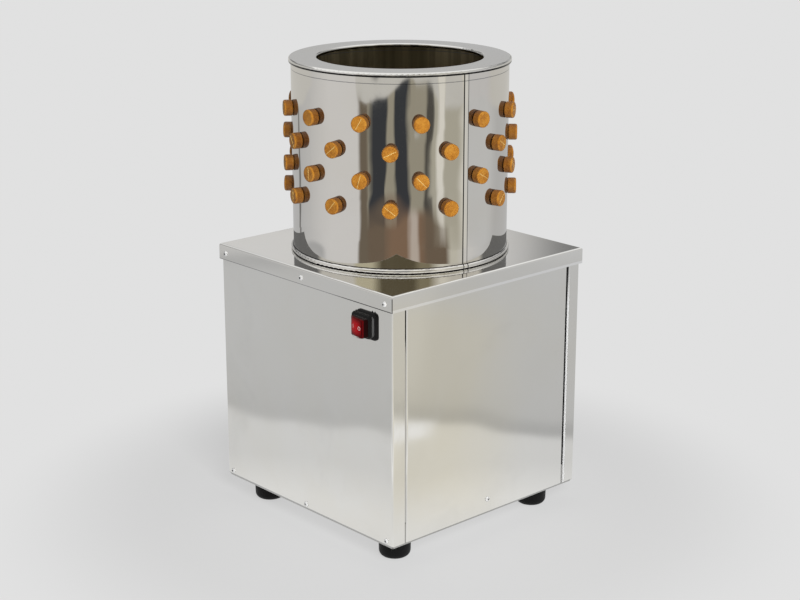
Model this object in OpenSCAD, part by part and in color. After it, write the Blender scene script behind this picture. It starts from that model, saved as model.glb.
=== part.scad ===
// Tub poultry plucker: a finger-lined drum on a stainless cabinet, with a belt-driven finger plate.
// Millimetres, +Z up. The origin is on the floor under the drum's axis, and the switch faces -Y.

/* [Cabinet] */
// Width of the top cover, across X
cover_w = 366; // [350:1:420]
// Depth of the top cover, across Y
cover_d = 362; // [350:1:420]
// Height from the pan's underside to the top of the cover
cabinet_h = 354; // [340:1:420]
// Height of the cover's turned-down lip
cover_lip = 22.5; // [18:0.5:28]
// Thickness of the cover sheet
cover_t = 1.5; // [1:0.1:2.5]
// Bend radius on the outside of the cover
cover_bend_r = 3; // [2.6:0.1:5]
// Room between the cover's lip and the panels
cover_gap = 1.3; // [0.4:0.1:3]
// Thickness of the panel sheet
panel_t = 1.2; // [0.8:0.1:2]
// Bend radius on the outside of the panels
panel_bend_r = 2.5; // [2.1:0.1:4]
// Length of the front and rear panels' returns on to the sides
panel_return = 22; // [16:1:26]
// Open joint beside each side panel
panel_joint = 3; // [1:0.5:5]
// Height of the panels' bottom edge above the pan's underside
panel_lift = 4; // [1:0.5:6]
// Room between the panels' top edge and the cover sheet
panel_top_gap = 0.5; // [0.2:0.1:2]
// Thickness of the bottom pan's sheet
pan_t = 1.5; // [1:0.1:2.5]
// Bend radius on the outside of the pan
pan_bend_r = 3; // [2.6:0.1:5]
// Height of the pan's upturned edge
pan_edge = 32; // [28:1:40]

/* [Panel screws] */
// Radius of a panel screw's head
screw_head_r = 3.6; // [3:0.1:5]
// Height of a panel screw's head
screw_head_h = 2.4; // [1.5:0.1:4]
// Radius of a panel screw's shank
screw_r = 2; // [1.5:0.1:2.5]
// Length of a panel screw's shank
screw_len = 8; // [7:0.5:12]
// Distance of the end screws from the body's corner
screw_inset = 12; // [10:0.5:14]
// Distance of the lip screws below the cover's top
lip_screw_drop = 13; // [8:0.5:15]
// Height of the foot screws above the pan's underside
foot_screw_h = 10; // [8.5:0.5:14]
// Height of the side screws above the pan's underside
side_screw_h = 23; // [18:0.5:25]

/* [Frame] */
// Leg of a corner post's angle section
post_leg = 20; // [16:1:22]
// Thickness of a corner post
post_t = 3; // [2:0.5:4]
// Side of the gusset plate at a post's foot
gusset_w = 62; // [56:1:72]
// Thickness of the gusset plate
gusset_t = 3; // [2:0.5:5]
// Leg of a side rail's angle section
rail_leg = 25; // [20:1:30]
// Thickness of a side rail
rail_t = 3; // [2:0.5:4]
// Thickness of the drive plate
drive_plate_t = 6; // [4:0.5:8]
// Height of the drive plate above the pan's underside
drive_plate_h = 77; // [70:1:90]
// Distance of the upper beam's rear edge behind the shaft's axis
beam_back = 38; // [36:1:44]
// Thickness of the upper beam
beam_t = 4; // [3:0.5:6]
// Depth of the upper beam's side flanges
beam_leg = 26; // [16:1:30]
// Radius of the frame bolts
frame_bolt_r = 4; // [3:0.5:4]

/* [Feet] */
// Height of a rubber foot
foot_h = 33; // [25:1:45]
// Radius of a rubber foot
foot_r = 20.5; // [18:0.5:25]
// Rounding of a foot's lower edge
foot_edge_r = 4; // [1:0.5:6]
// Distance of a foot's centre from the cover's edges
foot_inset = 46; // [40:1:52]
// Radius of the foot bolts
foot_bolt_r = 4; // [3:0.5:5]
// Depth of the recess for a foot bolt's head
foot_recess = 18; // [12:1:20]

/* [Drum] */
// Outside diameter of the drum
drum_d = 300; // [280:1:310]
// Thickness of the drum wall
drum_t = 1.5; // [1:0.1:2]
// Height of the drum above the cover
drum_h = 269; // [250:1:320]
// Depth of the drum's skirt below the cover's top
skirt_h = 20; // [14:1:22]
// Radius of the bead that seats the drum on the cover
bead_r = 3.3; // [2.5:0.1:4]
// Overhang of the top ring's lip beyond the drum wall
ring_overhang = 3; // [2.5:0.1:5]
// Height of the top ring's outer lip
ring_lip = 6; // [4.5:0.5:12]
// Thickness of the top ring's sheet
ring_t = 1.5; // [1:0.1:2]
// Rounding of the top ring's outer edge
ring_edge_r = 2.4; // [2.1:0.1:4]
// Diameter of the mouth
mouth_d = 229; // [200:1:250]
// Depth of the turned-down edge round the mouth
mouth_lip = 5; // [3:0.5:10]
// Width of the lap seam
seam_w = 7; // [4:0.5:7]
// Thickness of the lap seam
seam_t = 0.6; // [0.4:0.1:0.8]
// Direction of the lap seam about the axis, in degrees
seam_angle = -7; // [-8:0.5:-6.5]
// Width of a drum bracket
bracket_w = 30; // [20:1:34]
// Leg of a drum bracket
bracket_leg = 25; // [20:1:28]
// Thickness of a drum bracket
bracket_t = 3; // [2:0.5:4]
// Radius of the drum studs
stud_r = 3; // [2:0.5:4]

/* [Fingers] */
// Rows of fingers on the drum wall
finger_rows = 4; // [4:1:4]
// Fingers in each row
fingers_per_row = 12; // [10:1:12]
// Angle from the seam to the first finger of the top row, in degrees
first_finger = 8; // [6:0.1:9]
// Extra step of every row across the seam, in degrees
seam_step = 3.6; // [0:0.1:4]
// Height between rows
row_pitch = 38; // [30:1:44]
// Room between the plate fingers' tips and the lowest row
row_clear = 4.5; // [3:0.5:15]
// Radius of a finger's head
head_r = 11; // [10.5:0.1:12]
// Length of a finger's head
head_h = 12; // [9:0.5:14]
// Rounding of a finger's head
head_edge_r = 2; // [1:0.1:3]
// Radius of a finger's neck, where it passes the sheet
neck_r = 8.5; // [7:0.1:9.5]
// Radius of a finger's retaining collar
collar_r = 11.5; // [10.5:0.1:12]
// Length of a finger's retaining collar
collar_h = 5; // [3:0.5:8]
// Length of a finger from the collar to the tip
finger_len = 57; // [45:1:70]
// Radius of a finger at its root
finger_root_r = 9; // [8:0.1:9.5]
// Radius of a finger at its tip
finger_tip_r = 6; // [4:0.1:7]
// Height of the ribs along a finger
rib_h = 1; // [0.5:0.1:1.5]
// Ribs along a finger
rib_count = 7; // [5:1:9]

/* [Feather plate] */
// Height of the plate's underside above the cover's top
plate_lift = 6; // [4:0.5:12]
// Thickness of the plate
plate_t = 4; // [3:0.5:6]
// Gap between the plate and the drum for the feathers
feather_gap = 11.5; // [8:0.5:14]
// Radius of the outer ring of plate fingers
outer_ring_r = 106; // [102:1:112]
// Fingers in the outer ring
outer_ring_count = 10; // [6:1:12]
// Radius of the inner ring of plate fingers
inner_ring_r = 64; // [62:1:70]
// Fingers in the inner ring
inner_ring_count = 6; // [4:1:8]
// Radius of the hub's flange
hub_flange_r = 45; // [42:1:48]
// Thickness of the hub's flange
hub_flange_t = 8; // [6:0.5:10]
// Radius of the hub's boss
hub_r = 23; // [19:0.5:26]
// Length of the hub's boss
hub_h = 26; // [20:1:27]
// Radius of the hub bolts' circle
hub_bolt_circle_r = 34; // [32:0.5:36]
// Radius of the hub bolts
hub_bolt_r = 3; // [2:0.5:3.5]
// Radius of the plate washer
washer_r = 20; // [16:1:24]
// Thickness of the plate washer
washer_t = 2.5; // [2:0.5:4]

/* [Chute] */
// Slope of the chute floor, in degrees
chute_angle = 14; // [10:0.5:15]
// Depth of the chute floor below the cover's top, at the shaft
chute_drop = 65; // [62:1:75]
// Thickness of the chute sheet
chute_t = 1.5; // [1:0.1:2]
// Room between the drum and the chute's walls
chute_room = 6; // [4:0.5:8]
// Width of the chute's fixing flanges
chute_flange = 11; // [8:0.5:12]
// Inside width of the feather outlet
outlet_w = 240; // [200:1:250]
// Height of the feather outlet
outlet_h = 76; // [60:1:80]
// How far the outlet spout stands out of the rear panel
spout_out = 22.6; // [15:0.1:40]
// Thickness of the spout's sheet
spout_t = 1.5; // [1:0.1:2]
// Width of the spout's fixing flange
spout_flange = 15; // [13:0.5:18]
// Inside radius of the chute's shaft collar
chute_collar_r = 23; // [20:0.5:25]
// Height of the shaft collar above the chute floor, at the shaft
chute_collar_h = 26; // [20:1:28]
// Inside radius of the splash cup
cup_r = 30; // [28:0.5:34]
// Height of the splash cup
cup_h = 20; // [16:1:21]
// Thickness of the splash cup
cup_t = 3; // [2:0.5:4]

/* [Shaft and bearings] */
// Radius of the main shaft
shaft_r = 12.5; // [11:0.5:13]
// Radius of the shaft's threaded end
thread_r = 8; // [6:0.5:10]
// Length of the shaft's threaded end above the washer
thread_len = 18; // [14:1:24]
// Width of the shaft keys
key_w = 8; // [6:0.5:8]
// Height of the shaft keys
key_h = 7; // [5:0.5:7]
// Height of a bearing housing
housing_h = 30; // [26:1:34]
// Thickness of a bearing housing's flange
housing_flange_t = 12; // [8:0.5:15]
// Radius of a bearing housing's boss
housing_r = 34; // [32:0.5:36]
// Distance of a housing's bolts from the shaft's axis
housing_bolt_x = 49.5; // [47:0.5:54]
// Radius of a housing's ears
housing_ear_r = 15; // [12:0.5:17]
// Radius of the bearing bolts
bearing_bolt_r = 5; // [4:0.5:6]
// Outside radius of a bearing
bearing_r = 26; // [25.5:0.1:27]
// Width of a bearing's outer ring
bearing_w = 17; // [14:0.5:20]
// Width of a bearing's inner ring
bearing_inner_w = 30; // [22:1:30]
// Radius of the circle through the balls
ball_circle_r = 20; // [19.5:0.1:20.5]
// Radius of a bearing ball
ball_r = 4; // [3.5:0.1:4.2]
// Balls in a bearing
ball_count = 9; // [7:1:10]
// Room between the upper bearing and the chute above it
bearing_room = 12; // [8:1:20]

/* [Belt drive] */
// Outside radius of the motor pulley
motor_pulley_r = 27; // [22:0.5:32]
// Room between the two pulleys
pulley_room = 13; // [8:0.5:25]
// Width of the pulleys
pulley_w = 20; // [18:0.5:24]
// Distance of the belt's middle plane below the drive plate
belt_drop = 24; // [23:0.5:30]
// Width of the belt at its outer face
belt_w = 13; // [10:0.5:13]
// Height of the belt's section
belt_h = 8; // [6:0.5:9]
// Half of the belt's wedge angle, in degrees
belt_wedge = 19; // [17:0.5:20]
// Depth of the belt's outer face below the pulley rims
belt_sink = 1; // [0.5:0.1:2]
// Radius of the driven pulley's boss
pulley_boss_r = 26; // [20:0.5:30]
// How far the driven pulley's boss stands below its rim
pulley_boss_drop = 6; // [2:0.5:10]
// Thickness of the driven pulley's web
pulley_web_t = 8; // [6:0.5:12]
// Width of the driven pulley's rim
pulley_rim_w = 20; // [16:0.5:24]
// Holes in the driven pulley's web
pulley_holes = 5; // [3:1:6]

/* [Motor] */
// Outside radius of the motor over its fins
motor_r = 60; // [56:0.5:62]
// Room between the motor and the cabinet
motor_room = 8; // [6:0.5:12]
// Room between the motor and the upper beam
beam_room = 12.7; // [10:0.1:15]
// Thickness of the motor's flange
motor_flange_t = 12; // [11:0.5:16]
// Length of the motor housing
motor_len = 110; // [100:1:125]
// Radius of the bare motor housing
motor_barrel_r = 54; // [52:0.5:55]
// Wall of the motor housing
motor_wall = 4; // [3:0.5:5]
// Fins round the motor housing
fin_count = 30; // [16:1:36]
// Thickness of a cooling fin
fin_t = 2.2; // [1.5:0.1:3]
// Thickness of the rear end shield
end_shield_t = 11; // [11:0.5:14]
// Height of the fan cover above the end shield
fan_cover_h = 38; // [34:1:42]
// Thickness of the fan cover
fan_cover_t = 1.2; // [0.8:0.1:2]
// Length of the stator and rotor cores
core_len = 65; // [50:1:75]
// Radius of the rotor
rotor_r = 30; // [26:0.5:34]
// Air gap between rotor and stator
air_gap = 0.5; // [0.4:0.1:1]
// Height of a winding's end turns
winding_h = 14; // [10:0.5:16]
// Radius of the motor shaft
motor_shaft_r = 7.5; // [6:0.5:8]
// Outside radius of a motor bearing
motor_bearing_r = 17.5; // [15:0.5:19]
// Width of a motor bearing
motor_bearing_w = 9; // [7:0.5:9.5]
// Radius of the motor bolts' circle
motor_bolt_circle_r = 45; // [43:0.5:48]
// Radius of the motor bolts
motor_bolt_r = 3; // [2.5:0.5:4]
// Half travel of the motor bolts' slots
slot_travel = 5; // [2:0.5:6]
// Width of the terminal box
box_w = 62; // [50:1:70]
// Height of the terminal box
box_h = 58; // [40:1:64]
// Depth of the terminal box beyond the fins
box_out = 32; // [24:1:36]
// Radius of the capacitor
cap_r = 18; // [14:0.5:20]
// Height of the capacitor
cap_h = 72; // [50:1:80]
// Distance of the capacitor to the right of the shaft's axis
cap_x = 58; // [50:1:70]

/* [Switch] */
// Distance of the switch's centre from the body's right edge
switch_inset = 45.5; // [38:0.5:50]
// Distance of the switch's centre below the cover's top
switch_drop = 48; // [46:0.5:54]
// Width of the switch's flange
switch_w = 38; // [36:0.5:40]
// Height of the switch's flange
switch_h = 37; // [36:0.5:40]
// Thickness of the switch's flange
switch_flange_t = 5; // [3:0.5:6]
// How far the switch's collar stands out of the panel
switch_collar_out = 15; // [14:0.5:17]
// Wall of the switch's collar at the sides
switch_wall = 2; // [1.5:0.1:2.5]
// Wall of the switch's collar at the top and the bottom
switch_end_wall = 4.5; // [3:0.1:5]
// Height of the collar's ribs
switch_rib = 1; // [0.5:0.1:1.2]
// Width of the rocker
rocker_w = 28; // [26:0.5:28.5]
// Height of the rocker
rocker_h = 25; // [22:0.5:26]
// How far the rocker's crown stands out of the panel
rocker_out = 22; // [20:0.5:25]
// Height of the rocker's pivot above the panel
pivot_out = 9.5; // [9:0.5:11]
// Radius of the rocker's pivot stubs
pivot_r = 1.5; // [1.2:0.1:2]
// Tilt of the rocker to each side, in degrees
rocker_tilt = 9; // [5:0.5:9]
// Width of the switch body behind the panel
switch_body_w = 27; // [24:0.5:28]
// Height of the switch body behind the panel
switch_body_h = 21; // [18:0.5:23]
// Depth of the switch body behind the panel
switch_body_d = 26; // [20:0.5:28]

/* [Cable gland] */
// Bore of the gland
gland_bore_r = 4.5; // [3:0.5:6]
// Radius of the gland's thread
gland_thread_r = 8; // [7.5:0.5:10]
// Radius of the gland's hexagon, across its corners
gland_hex_r = 12; // [11:0.5:14]
// Length of the gland outside the panel
gland_out = 22; // [16:0.5:24]
// Distance of the gland from the shaft's axis, to the right
gland_x = 105; // [95:1:120]
// Height of the gland above the pan's underside
gland_h = 55; // [45:1:60]

/* [Clearances] */
// Slip fit between fixed pieces
fit = 0.1; // [0.05:0.01:0.15]
// Running fit of shafts in their bores
run_fit = 0.05; // [0.02:0.01:0.08]
// Room round moving curved pieces
moving_gap = 0.4; // [0.3:0.05:0.6]
// Room between the drum's skirt and the cover's opening
skirt_gap = 1; // [0.5:0.1:1.5]

/* [Hidden] */
$fn = 96;
cut = 1;
hex_k = 1.8;
head_k = 1.3;
nut_k = 1.6;
drum_r = drum_d / 2;
drum_in_r = drum_r - drum_t;
mouth_r = mouth_d / 2;

// Outside of the panels, inside of the panels, and outside of the posts
body_w = cover_w - 2 * (cover_t + cover_gap);
body_d = cover_d - 2 * (cover_t + cover_gap);
inner_w = body_w - 2 * panel_t;
inner_d = body_d - 2 * panel_t;
pan_inner_bend_r = pan_bend_r - pan_t;
frame_w = inner_w - 2 * (pan_t + pan_inner_bend_r);
frame_d = inner_d - 2 * (pan_t + pan_inner_bend_r);
// The side panels' folded edges end just short of the frame
side_fold = (body_w - frame_w) / 2 - fit;

// Levels from the floor upwards
z_pan = foot_h;
z_floor = z_pan + pan_t;
z_panel = z_pan + panel_lift;
z_cover = z_pan + cabinet_h;
z_under_cover = z_cover - cover_t;
panel_h = z_under_cover - panel_top_gap - z_panel;
side_panel_w = body_d - 2 * (panel_return + panel_joint);
vent_r = 2.5;
pan_vents = [-3:3];
pan_vent_pitch = 24;
pan_vent_len = 80;
rear_vents_up = [0:5];
rear_vent_x = 100;
rear_vent_h = 60;
rear_vent_pitch = 16;
rear_vent_len = 70;
foot_x = cover_w / 2 - foot_inset;
foot_y = cover_d / 2 - foot_inset;
foot_recess_r = 2.2 * foot_bolt_r;

// Feather plate and its hub
z_plate = z_cover + plate_lift;
z_plate_top = z_plate + plate_t;
plate_r = drum_in_r - feather_gap;
z_hub = z_plate - hub_flange_t - hub_h;
plate_seat = plate_t + 2 * fit;

// Fingers: the drum wall is gripped between the head and the collar, clear of its curve
finger_seat = drum_r - sqrt(drum_in_r * drum_in_r - collar_r * collar_r) + 2 * fit;
finger_reach = collar_h + finger_len;
collar_edge = 1;
finger_pitch = (360 - seam_step) / fingers_per_row;
z_low_row = z_plate_top + finger_reach + collar_r + row_clear;
z_ring = z_cover + drum_h;
stud_out = bracket_leg * 0.6;

// Feather chute: its floor falls towards the rear
chute_fall = tan(chute_angle);
chute_skin = chute_t / cos(chute_angle);
function chute_z(y) = z_cover - chute_drop - chute_fall * y;
chute_half = drum_r + chute_room;
chute_end_y = inner_d / 2;
z_outlet = chute_z(chute_end_y);
spout_y = body_d / 2;
spout_screw_x = outlet_w / 2 + spout_t / 2 + spout_flange / 2;
spout_screws_up = [0.2, 0.8];

// Bearings and beams
z_upper_seat = chute_z(housing_r) - chute_skin - bearing_room - housing_h;
z_beam = z_upper_seat - beam_t;
z_drive = z_pan + drive_plate_h;
z_drive_top = z_drive + drive_plate_t;
rail_in = frame_w / 2 - post_t - rail_leg;
frame_gap = 2;
plate_half = frame_w / 2 - post_t - frame_gap;
rail_bolt_x = frame_w / 2 - post_t - rail_leg / 2;
beam_bolt_inset = 14;
beam_leg_half = rail_in - 2 * frame_gap;
drive_back_y = 60;
drive_front_y = -(frame_d / 2 - post_t - frame_gap);
drive_bolts_y = [drive_front_y + 40, drive_back_y - 20];
bolt_hole_depth = 30;
web_sink = 0.8;
shaft_stub = 4;
shoulder_gap = 1;
shaft_hole_r = shaft_r + 4;
key_margin = 2;
race_r = ball_r + run_fit;
ring_gap = 2.3;
seats = [z_upper_seat, z_drive_top];

// Belt drive: the driven pulley fills the room that the motor leaves
motor_x = -(rail_in - motor_room - motor_r);
motor_y = -(frame_d / 2 - motor_room - motor_r);
fan_cover_r = motor_barrel_r + fit + fan_cover_t;
beam_front = -motor_y - fan_cover_r - beam_room;
beam_bolts_y = [beam_bolt_inset - beam_front, beam_back - beam_bolt_inset];
belt_c = norm([motor_x, motor_y]);
belt_dir = atan2(motor_y, motor_x);
driven_r = belt_c - motor_pulley_r - pulley_room;
belt_line = belt_sink + belt_h / 2;
driven_pitch_r = driven_r - belt_line;
motor_pitch_r = motor_pulley_r - belt_line;
belt_lean = asin((driven_pitch_r - motor_pitch_r) / belt_c);
belt_run = sqrt(pow(belt_c, 2) - pow(driven_pitch_r - motor_pitch_r, 2));
z_belt = z_drive - belt_drop;
groove_room = 2;
pulley_hole_wall = 8;
z_rim = z_belt - pulley_w / 2;
z_shaft_end = z_rim - pulley_boss_drop - shaft_stub;
hub_key = [z_hub + key_margin, hub_h - 2 * key_margin];
pulley_key = [z_rim + key_margin, pulley_w - 2 * key_margin];

// Motor levels
z_motor = z_drive_top + motor_flange_t;
z_shield = z_motor + motor_len;
z_shield_top = z_shield + end_shield_t;
z_core = z_motor + (motor_len - core_len) / 2;
motor_bore_r = motor_barrel_r - motor_wall;
z_motor_shaft = z_rim - shaft_stub;
fin_margin = 3;
fin_root = 1;
fan_room = 8;
z_fan = z_shield_top + fan_room;
fan_h = 16;
fan_t = 2;
fan_blades = 8;
fan_r = motor_barrel_r - 6;
grille_rings = [0.35, 0.6, 0.82] * motor_barrel_r;
grille_holes = 12;
grille_hole_r = 3.2;
flange_lip = 2;
winding_gap = 4;
cap_y = motor_y - 8;
cap_tab_x = cap_r / 3;
cap_tab_r = 2;
cap_tab_h = 8;
box_root = 10;
box_z = z_motor + 26;
box_x = motor_x + motor_r + box_out;

// Switch and gland places
switch_x = body_w / 2 - switch_inset;
switch_z = z_cover - switch_drop;
switch_y = -body_d / 2;
rocker_swing = 1.3;
cavity_w = rocker_w + 2 * rocker_swing;
cavity_h = rocker_h + 2 * moving_gap;
collar_w = cavity_w + 2 * switch_wall;
collar_box_h = cavity_h + 2 * switch_end_wall;
pivot_h = rocker_h + 2 * switch_end_wall;
switch_flange_corner = 5;
collar_corner = 4;
switch_rib_t = 2;
switch_tab = [1, 5, 9];
switch_tab_at = [8, 5];
rocker_back = 3;
rocker_floor = 4;
rocker_crown_r = 60;
z_gland = z_pan + gland_h;
gland_body_r = 0.85 * gland_hex_r;
gland_hex_h = 6;
gland_cone_h = 5;
gland_lip = 2;
gland_in = panel_t + 9;
gland_nut_h = 5;

// Route of the motor cable, from the switch body down to the terminal box
cable_r = 3.5;
cable_top = [switch_x, switch_y + panel_t + switch_body_d + fit, switch_z];
cable_end = [box_x - box_out / 2, motor_y, box_z + box_h + fit];
cable_route = [
  cable_top,
  cable_top + [0, 6, 0],
  cable_top + [0, 12, 0],
  cable_top + [-10, 20, -16],
  cable_top + [-40, 24, -40],
  cable_end + [50, -5, 55],
  cable_end + [14, 0, 38],
  cable_end + [0, 0, 20],
  cable_end + [0, 0, 10],
  cable_end
];

// Ring with a true bore, standing on z = 0
module ring(r_out, r_in, h) {
  difference() {
    cylinder(r = r_out, h = h);
    translate([0, 0, -cut]) cylinder(r = r_in, h = h + 2 * cut);
  }
}

// Flat rectangle with round corners
module round_rect(w, d, r) {
  square([w - 2 * r, d], center = true);
  square([w, d - 2 * r], center = true);
  for (x = [-1, 1], y = [-1, 1]) translate([x * (w / 2 - r), y * (d / 2 - r)]) circle(r);
}

// Section of a tray: flat at the bottom, with round top corners
module crown(w, h, r) {
  translate([-w / 2, 0]) square([w, h - r]);
  translate([-w / 2 + r, 0]) square([w - 2 * r, h]);
  for (s = [-1, 1]) translate([s * (w / 2 - r), h - r]) circle(r);
}

// Block with bent top edges and mitred corners
module crown_block(w, d, h, r) {
  intersection() {
    rotate([90, 0, 0]) linear_extrude(d, center = true) crown(w, h, r);
    rotate([90, 0, 90]) linear_extrude(w, center = true) crown(d, h, r);
  }
}

// Folded tray, open at the bottom
module tray(w, d, h, t, r) {
  difference() {
    crown_block(w, d, h, r);
    translate([0, 0, -cut]) crown_block(w - 2 * t, d - 2 * t, h - t + cut, r - t);
  }
}

// Plan of a sheet with both edges bent back: its face is on y = 0, its returns point to +Y
module bent_outline(w, back, r) {
  translate([-w / 2, r]) square([w, back - r]);
  translate([-w / 2 + r, 0]) square([w - 2 * r, back]);
  for (s = [-1, 1]) translate([s * (w / 2 - r), r]) circle(r);
}

module bent_sheet(w, back, t, r, h) {
  linear_extrude(h) difference() {
    bent_outline(w, back, r);
    translate([0, t]) bent_outline(w - 2 * t, back, r - t);
  }
}

// Angle section along +X, with its outer corner on the X axis and its legs along +Y and +Z
module angle_bar(len, leg, t) {
  difference() {
    cube([len, leg, leg]);
    translate([-cut, t, t]) cube([len + 2 * cut, leg, leg]);
  }
}

// Places its children at the four corners, from the one at +X +Y
module four_corners() {
  for (sx = [0, 1], sy = [0, 1]) mirror([sx, 0, 0]) mirror([0, sy, 0]) children();
}

// Places its children evenly round the Z axis, at radius r and with +X pointing outwards
module ring_of(count, r) {
  for (i = [0:count - 1]) rotate([0, 0, i * 360 / count]) translate([r, 0, 0]) children();
}

// Hexagon-headed bolt pointing down from z = 0, its head above
module hex_bolt(r, len) {
  cylinder(r = hex_k * r, h = head_k * r, $fn = 6);
  translate([0, 0, -len]) cylinder(r = r, h = len + cut / 2);
}

// Hexagon nut hanging down from z = 0
module hex_nut(r) {
  translate([0, 0, -nut_k * r]) difference() {
    cylinder(r = hex_k * r, h = nut_k * r, $fn = 6);
    translate([0, 0, -cut]) cylinder(r = r + run_fit, h = nut_k * r + 2 * cut);
  }
}

// Slot through z = 0, along X
module slot(r, travel, h) {
  translate([0, 0, -h / 2]) {
    for (s = [-1, 1]) translate([s * travel, 0, 0]) cylinder(r = r, h = h);
    translate([-travel, -r, 0]) cube([2 * travel, 2 * r, h]);
  }
}

// Places its children at each panel screw, with +Z pointing out of the sheet from its face
module at_panel_screws() {
  ends = body_w / 2 - screw_inset;
  for (x = [-ends, 0, ends], side = [-1, 1]) {
    translate([x, side * cover_d / 2, z_cover - lip_screw_drop]) rotate([-90 * side, 0, 0]) children();
    translate([x, side * body_d / 2, z_pan + foot_screw_h]) rotate([-90 * side, 0, 0]) children();
  }
  for (side = [-1, 1]) {
    translate([side * body_w / 2, 0, z_pan + side_screw_h]) rotate([0, 90 * side, 0]) children();
  }
}

module panel_screw_holes() {
  at_panel_screws() translate([0, 0, -screw_len - cut]) cylinder(r = screw_r + fit, h = screw_len + 2 * cut);
}

// Places its children at the spout's screws, with +Z pointing out of the flange's face
module at_spout_screws() {
  for (x = [-1, 1], z = spout_screws_up)
    translate([x * spout_screw_x, spout_y + spout_t, z_outlet + z * outlet_h]) rotate([-90, 0, 0]) children();
}

module spout_screw_holes() {
  at_spout_screws() translate([0, 0, -screw_len - cut]) cylinder(r = screw_r + fit, h = screw_len + 2 * cut);
}

// Socket pan-head screw pointing to -Z, with its head seated on z = 0
module pan_screw() {
  side = 0.45 * screw_head_h;
  crown_r = 0.6 * screw_head_r;
  socket_r = 0.42 * screw_head_r;
  difference() {
    union() {
      cylinder(r = screw_head_r, h = side);
      translate([0, 0, side]) cylinder(r1 = screw_head_r, r2 = crown_r, h = screw_head_h - side);
      translate([0, 0, -screw_len]) cylinder(r = screw_r, h = screw_len + cut / 2);
    }
    translate([0, 0, side]) cylinder(r = socket_r, h = screw_head_h, $fn = 6);
  }
}

module top_cover() {
  color("silver") difference() {
    translate([0, 0, z_cover - cover_lip]) tray(cover_w, cover_d, cover_lip, cover_t, cover_bend_r);
    cylinder(r = drum_r + skirt_gap, h = z_cover + cut);
    panel_screw_holes();
  }
}

module front_panel() {
  color("silver") difference() {
    translate([0, -body_d / 2, z_panel]) bent_sheet(body_w, panel_return, panel_t, panel_bend_r, panel_h);
    translate([switch_x, switch_y, switch_z])
      cube([switch_body_w + 2 * fit, 4 * panel_t, switch_body_h + 2 * fit], center = true);
    panel_screw_holes();
  }
}

module rear_panel() {
  color("silver") difference() {
    translate([0, body_d / 2, z_panel]) mirror([0, 1, 0])
      bent_sheet(body_w, panel_return, panel_t, panel_bend_r, panel_h);
    translate([-outlet_w / 2, body_d / 2 - 2 * panel_t, z_outlet]) cube([outlet_w, 4 * panel_t, outlet_h]);
    translate([gland_x, body_d / 2, z_gland]) rotate([90, 0, 0])
      cylinder(r = gland_thread_r + fit, h = 4 * panel_t, center = true);
    panel_screw_holes();
    spout_screw_holes();
    rear_vents();
  }
}

// Rows of vent slots beside the motor
module rear_vents() {
  for (i = rear_vents_up) translate([-rear_vent_x, body_d / 2, z_pan + rear_vent_h + rear_vent_pitch * i])
    rotate([90, 0, 0]) slot(vent_r, rear_vent_len / 2, 4 * panel_t);
}

module left_panel() {
  color("silver") side_panel(-1);
}

module right_panel() {
  color("silver") side_panel(1);
}

// Side panel with folded edges, set in between the returns
module side_panel(side) {
  difference() {
    translate([side * body_w / 2, 0, z_panel]) rotate([0, 0, 90 * side])
      bent_sheet(side_panel_w, side_fold, panel_t, panel_bend_r, panel_h);
    cube([inner_w, inner_d, 2 * (z_pan + pan_edge + cut)], center = true);
    panel_screw_holes();
  }
}

module bottom_pan() {
  color("lightgray") difference() {
    translate([0, 0, z_pan + pan_edge]) mirror([0, 0, 1]) tray(inner_w, inner_d, pan_edge, pan_t, pan_bend_r);
    four_corners() translate([inner_w / 2 - panel_bend_r, inner_d / 2 - panel_bend_r, z_pan - cut])
      cube([panel_bend_r + cut, panel_bend_r + cut, pan_edge + 2 * cut]);
    foot_bolt_holes();
    panel_screw_holes();
    for (i = pan_vents) translate([0, pan_vent_pitch * i, z_pan]) slot(vent_r, pan_vent_len / 2, 4 * pan_t);
  }
}

module panel_screws() {
  color("gainsboro") {
    at_panel_screws() pan_screw();
    at_spout_screws() pan_screw();
  }
}

module foot_bolt_holes() {
  four_corners() translate([foot_x, foot_y, -cut])
    cylinder(r = foot_bolt_r + fit, h = z_floor + gusset_t + 2 * cut);
}

module corner_posts() {
  color("dimgray") difference() {
    four_corners() {
      difference() {
        translate([frame_w / 2 - post_leg, frame_d / 2 - post_leg, z_floor])
          cube([post_leg, post_leg, z_under_cover - z_floor]);
        translate([frame_w / 2 - post_leg - cut, frame_d / 2 - post_leg - cut, z_floor - cut])
          cube([post_leg - post_t + cut, post_leg - post_t + cut, z_under_cover - z_floor + 2 * cut]);
      }
      translate([frame_w / 2 - gusset_w, frame_d / 2 - gusset_w, z_floor])
        cube([gusset_w, gusset_w, gusset_t]);
    }
    foot_bolt_holes();
    panel_screw_holes();
  }
}

// Pair of side rails, welded between the posts, with their seats level with z_top
module side_rails(z_top) {
  length = frame_d - 2 * post_t;
  for (side = [0, 1]) mirror([side, 0, 0])
    translate([frame_w / 2 - post_t, -length / 2, z_top]) rotate([0, 180, 90]) mirror([1, 0, 0])
      angle_bar(length, rail_leg, rail_t);
}

module lower_rails() {
  color("dimgray") difference() {
    side_rails(z_drive);
    at_drive_bolts() bolt_hole();
  }
}

module upper_rails() {
  color("dimgray") difference() {
    side_rails(z_beam);
    at_beam_bolts() bolt_hole();
  }
}

module bolt_hole() {
  translate([0, 0, -bolt_hole_depth]) cylinder(r = frame_bolt_r + fit, h = bolt_hole_depth + cut);
}

module at_drive_bolts() {
  for (x = [-1, 1], y = drive_bolts_y) translate([x * rail_bolt_x, y, z_drive_top]) children();
}

module at_beam_bolts() {
  for (x = [-1, 1], y = beam_bolts_y) translate([x * rail_bolt_x, y, z_upper_seat]) children();
}

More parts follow.
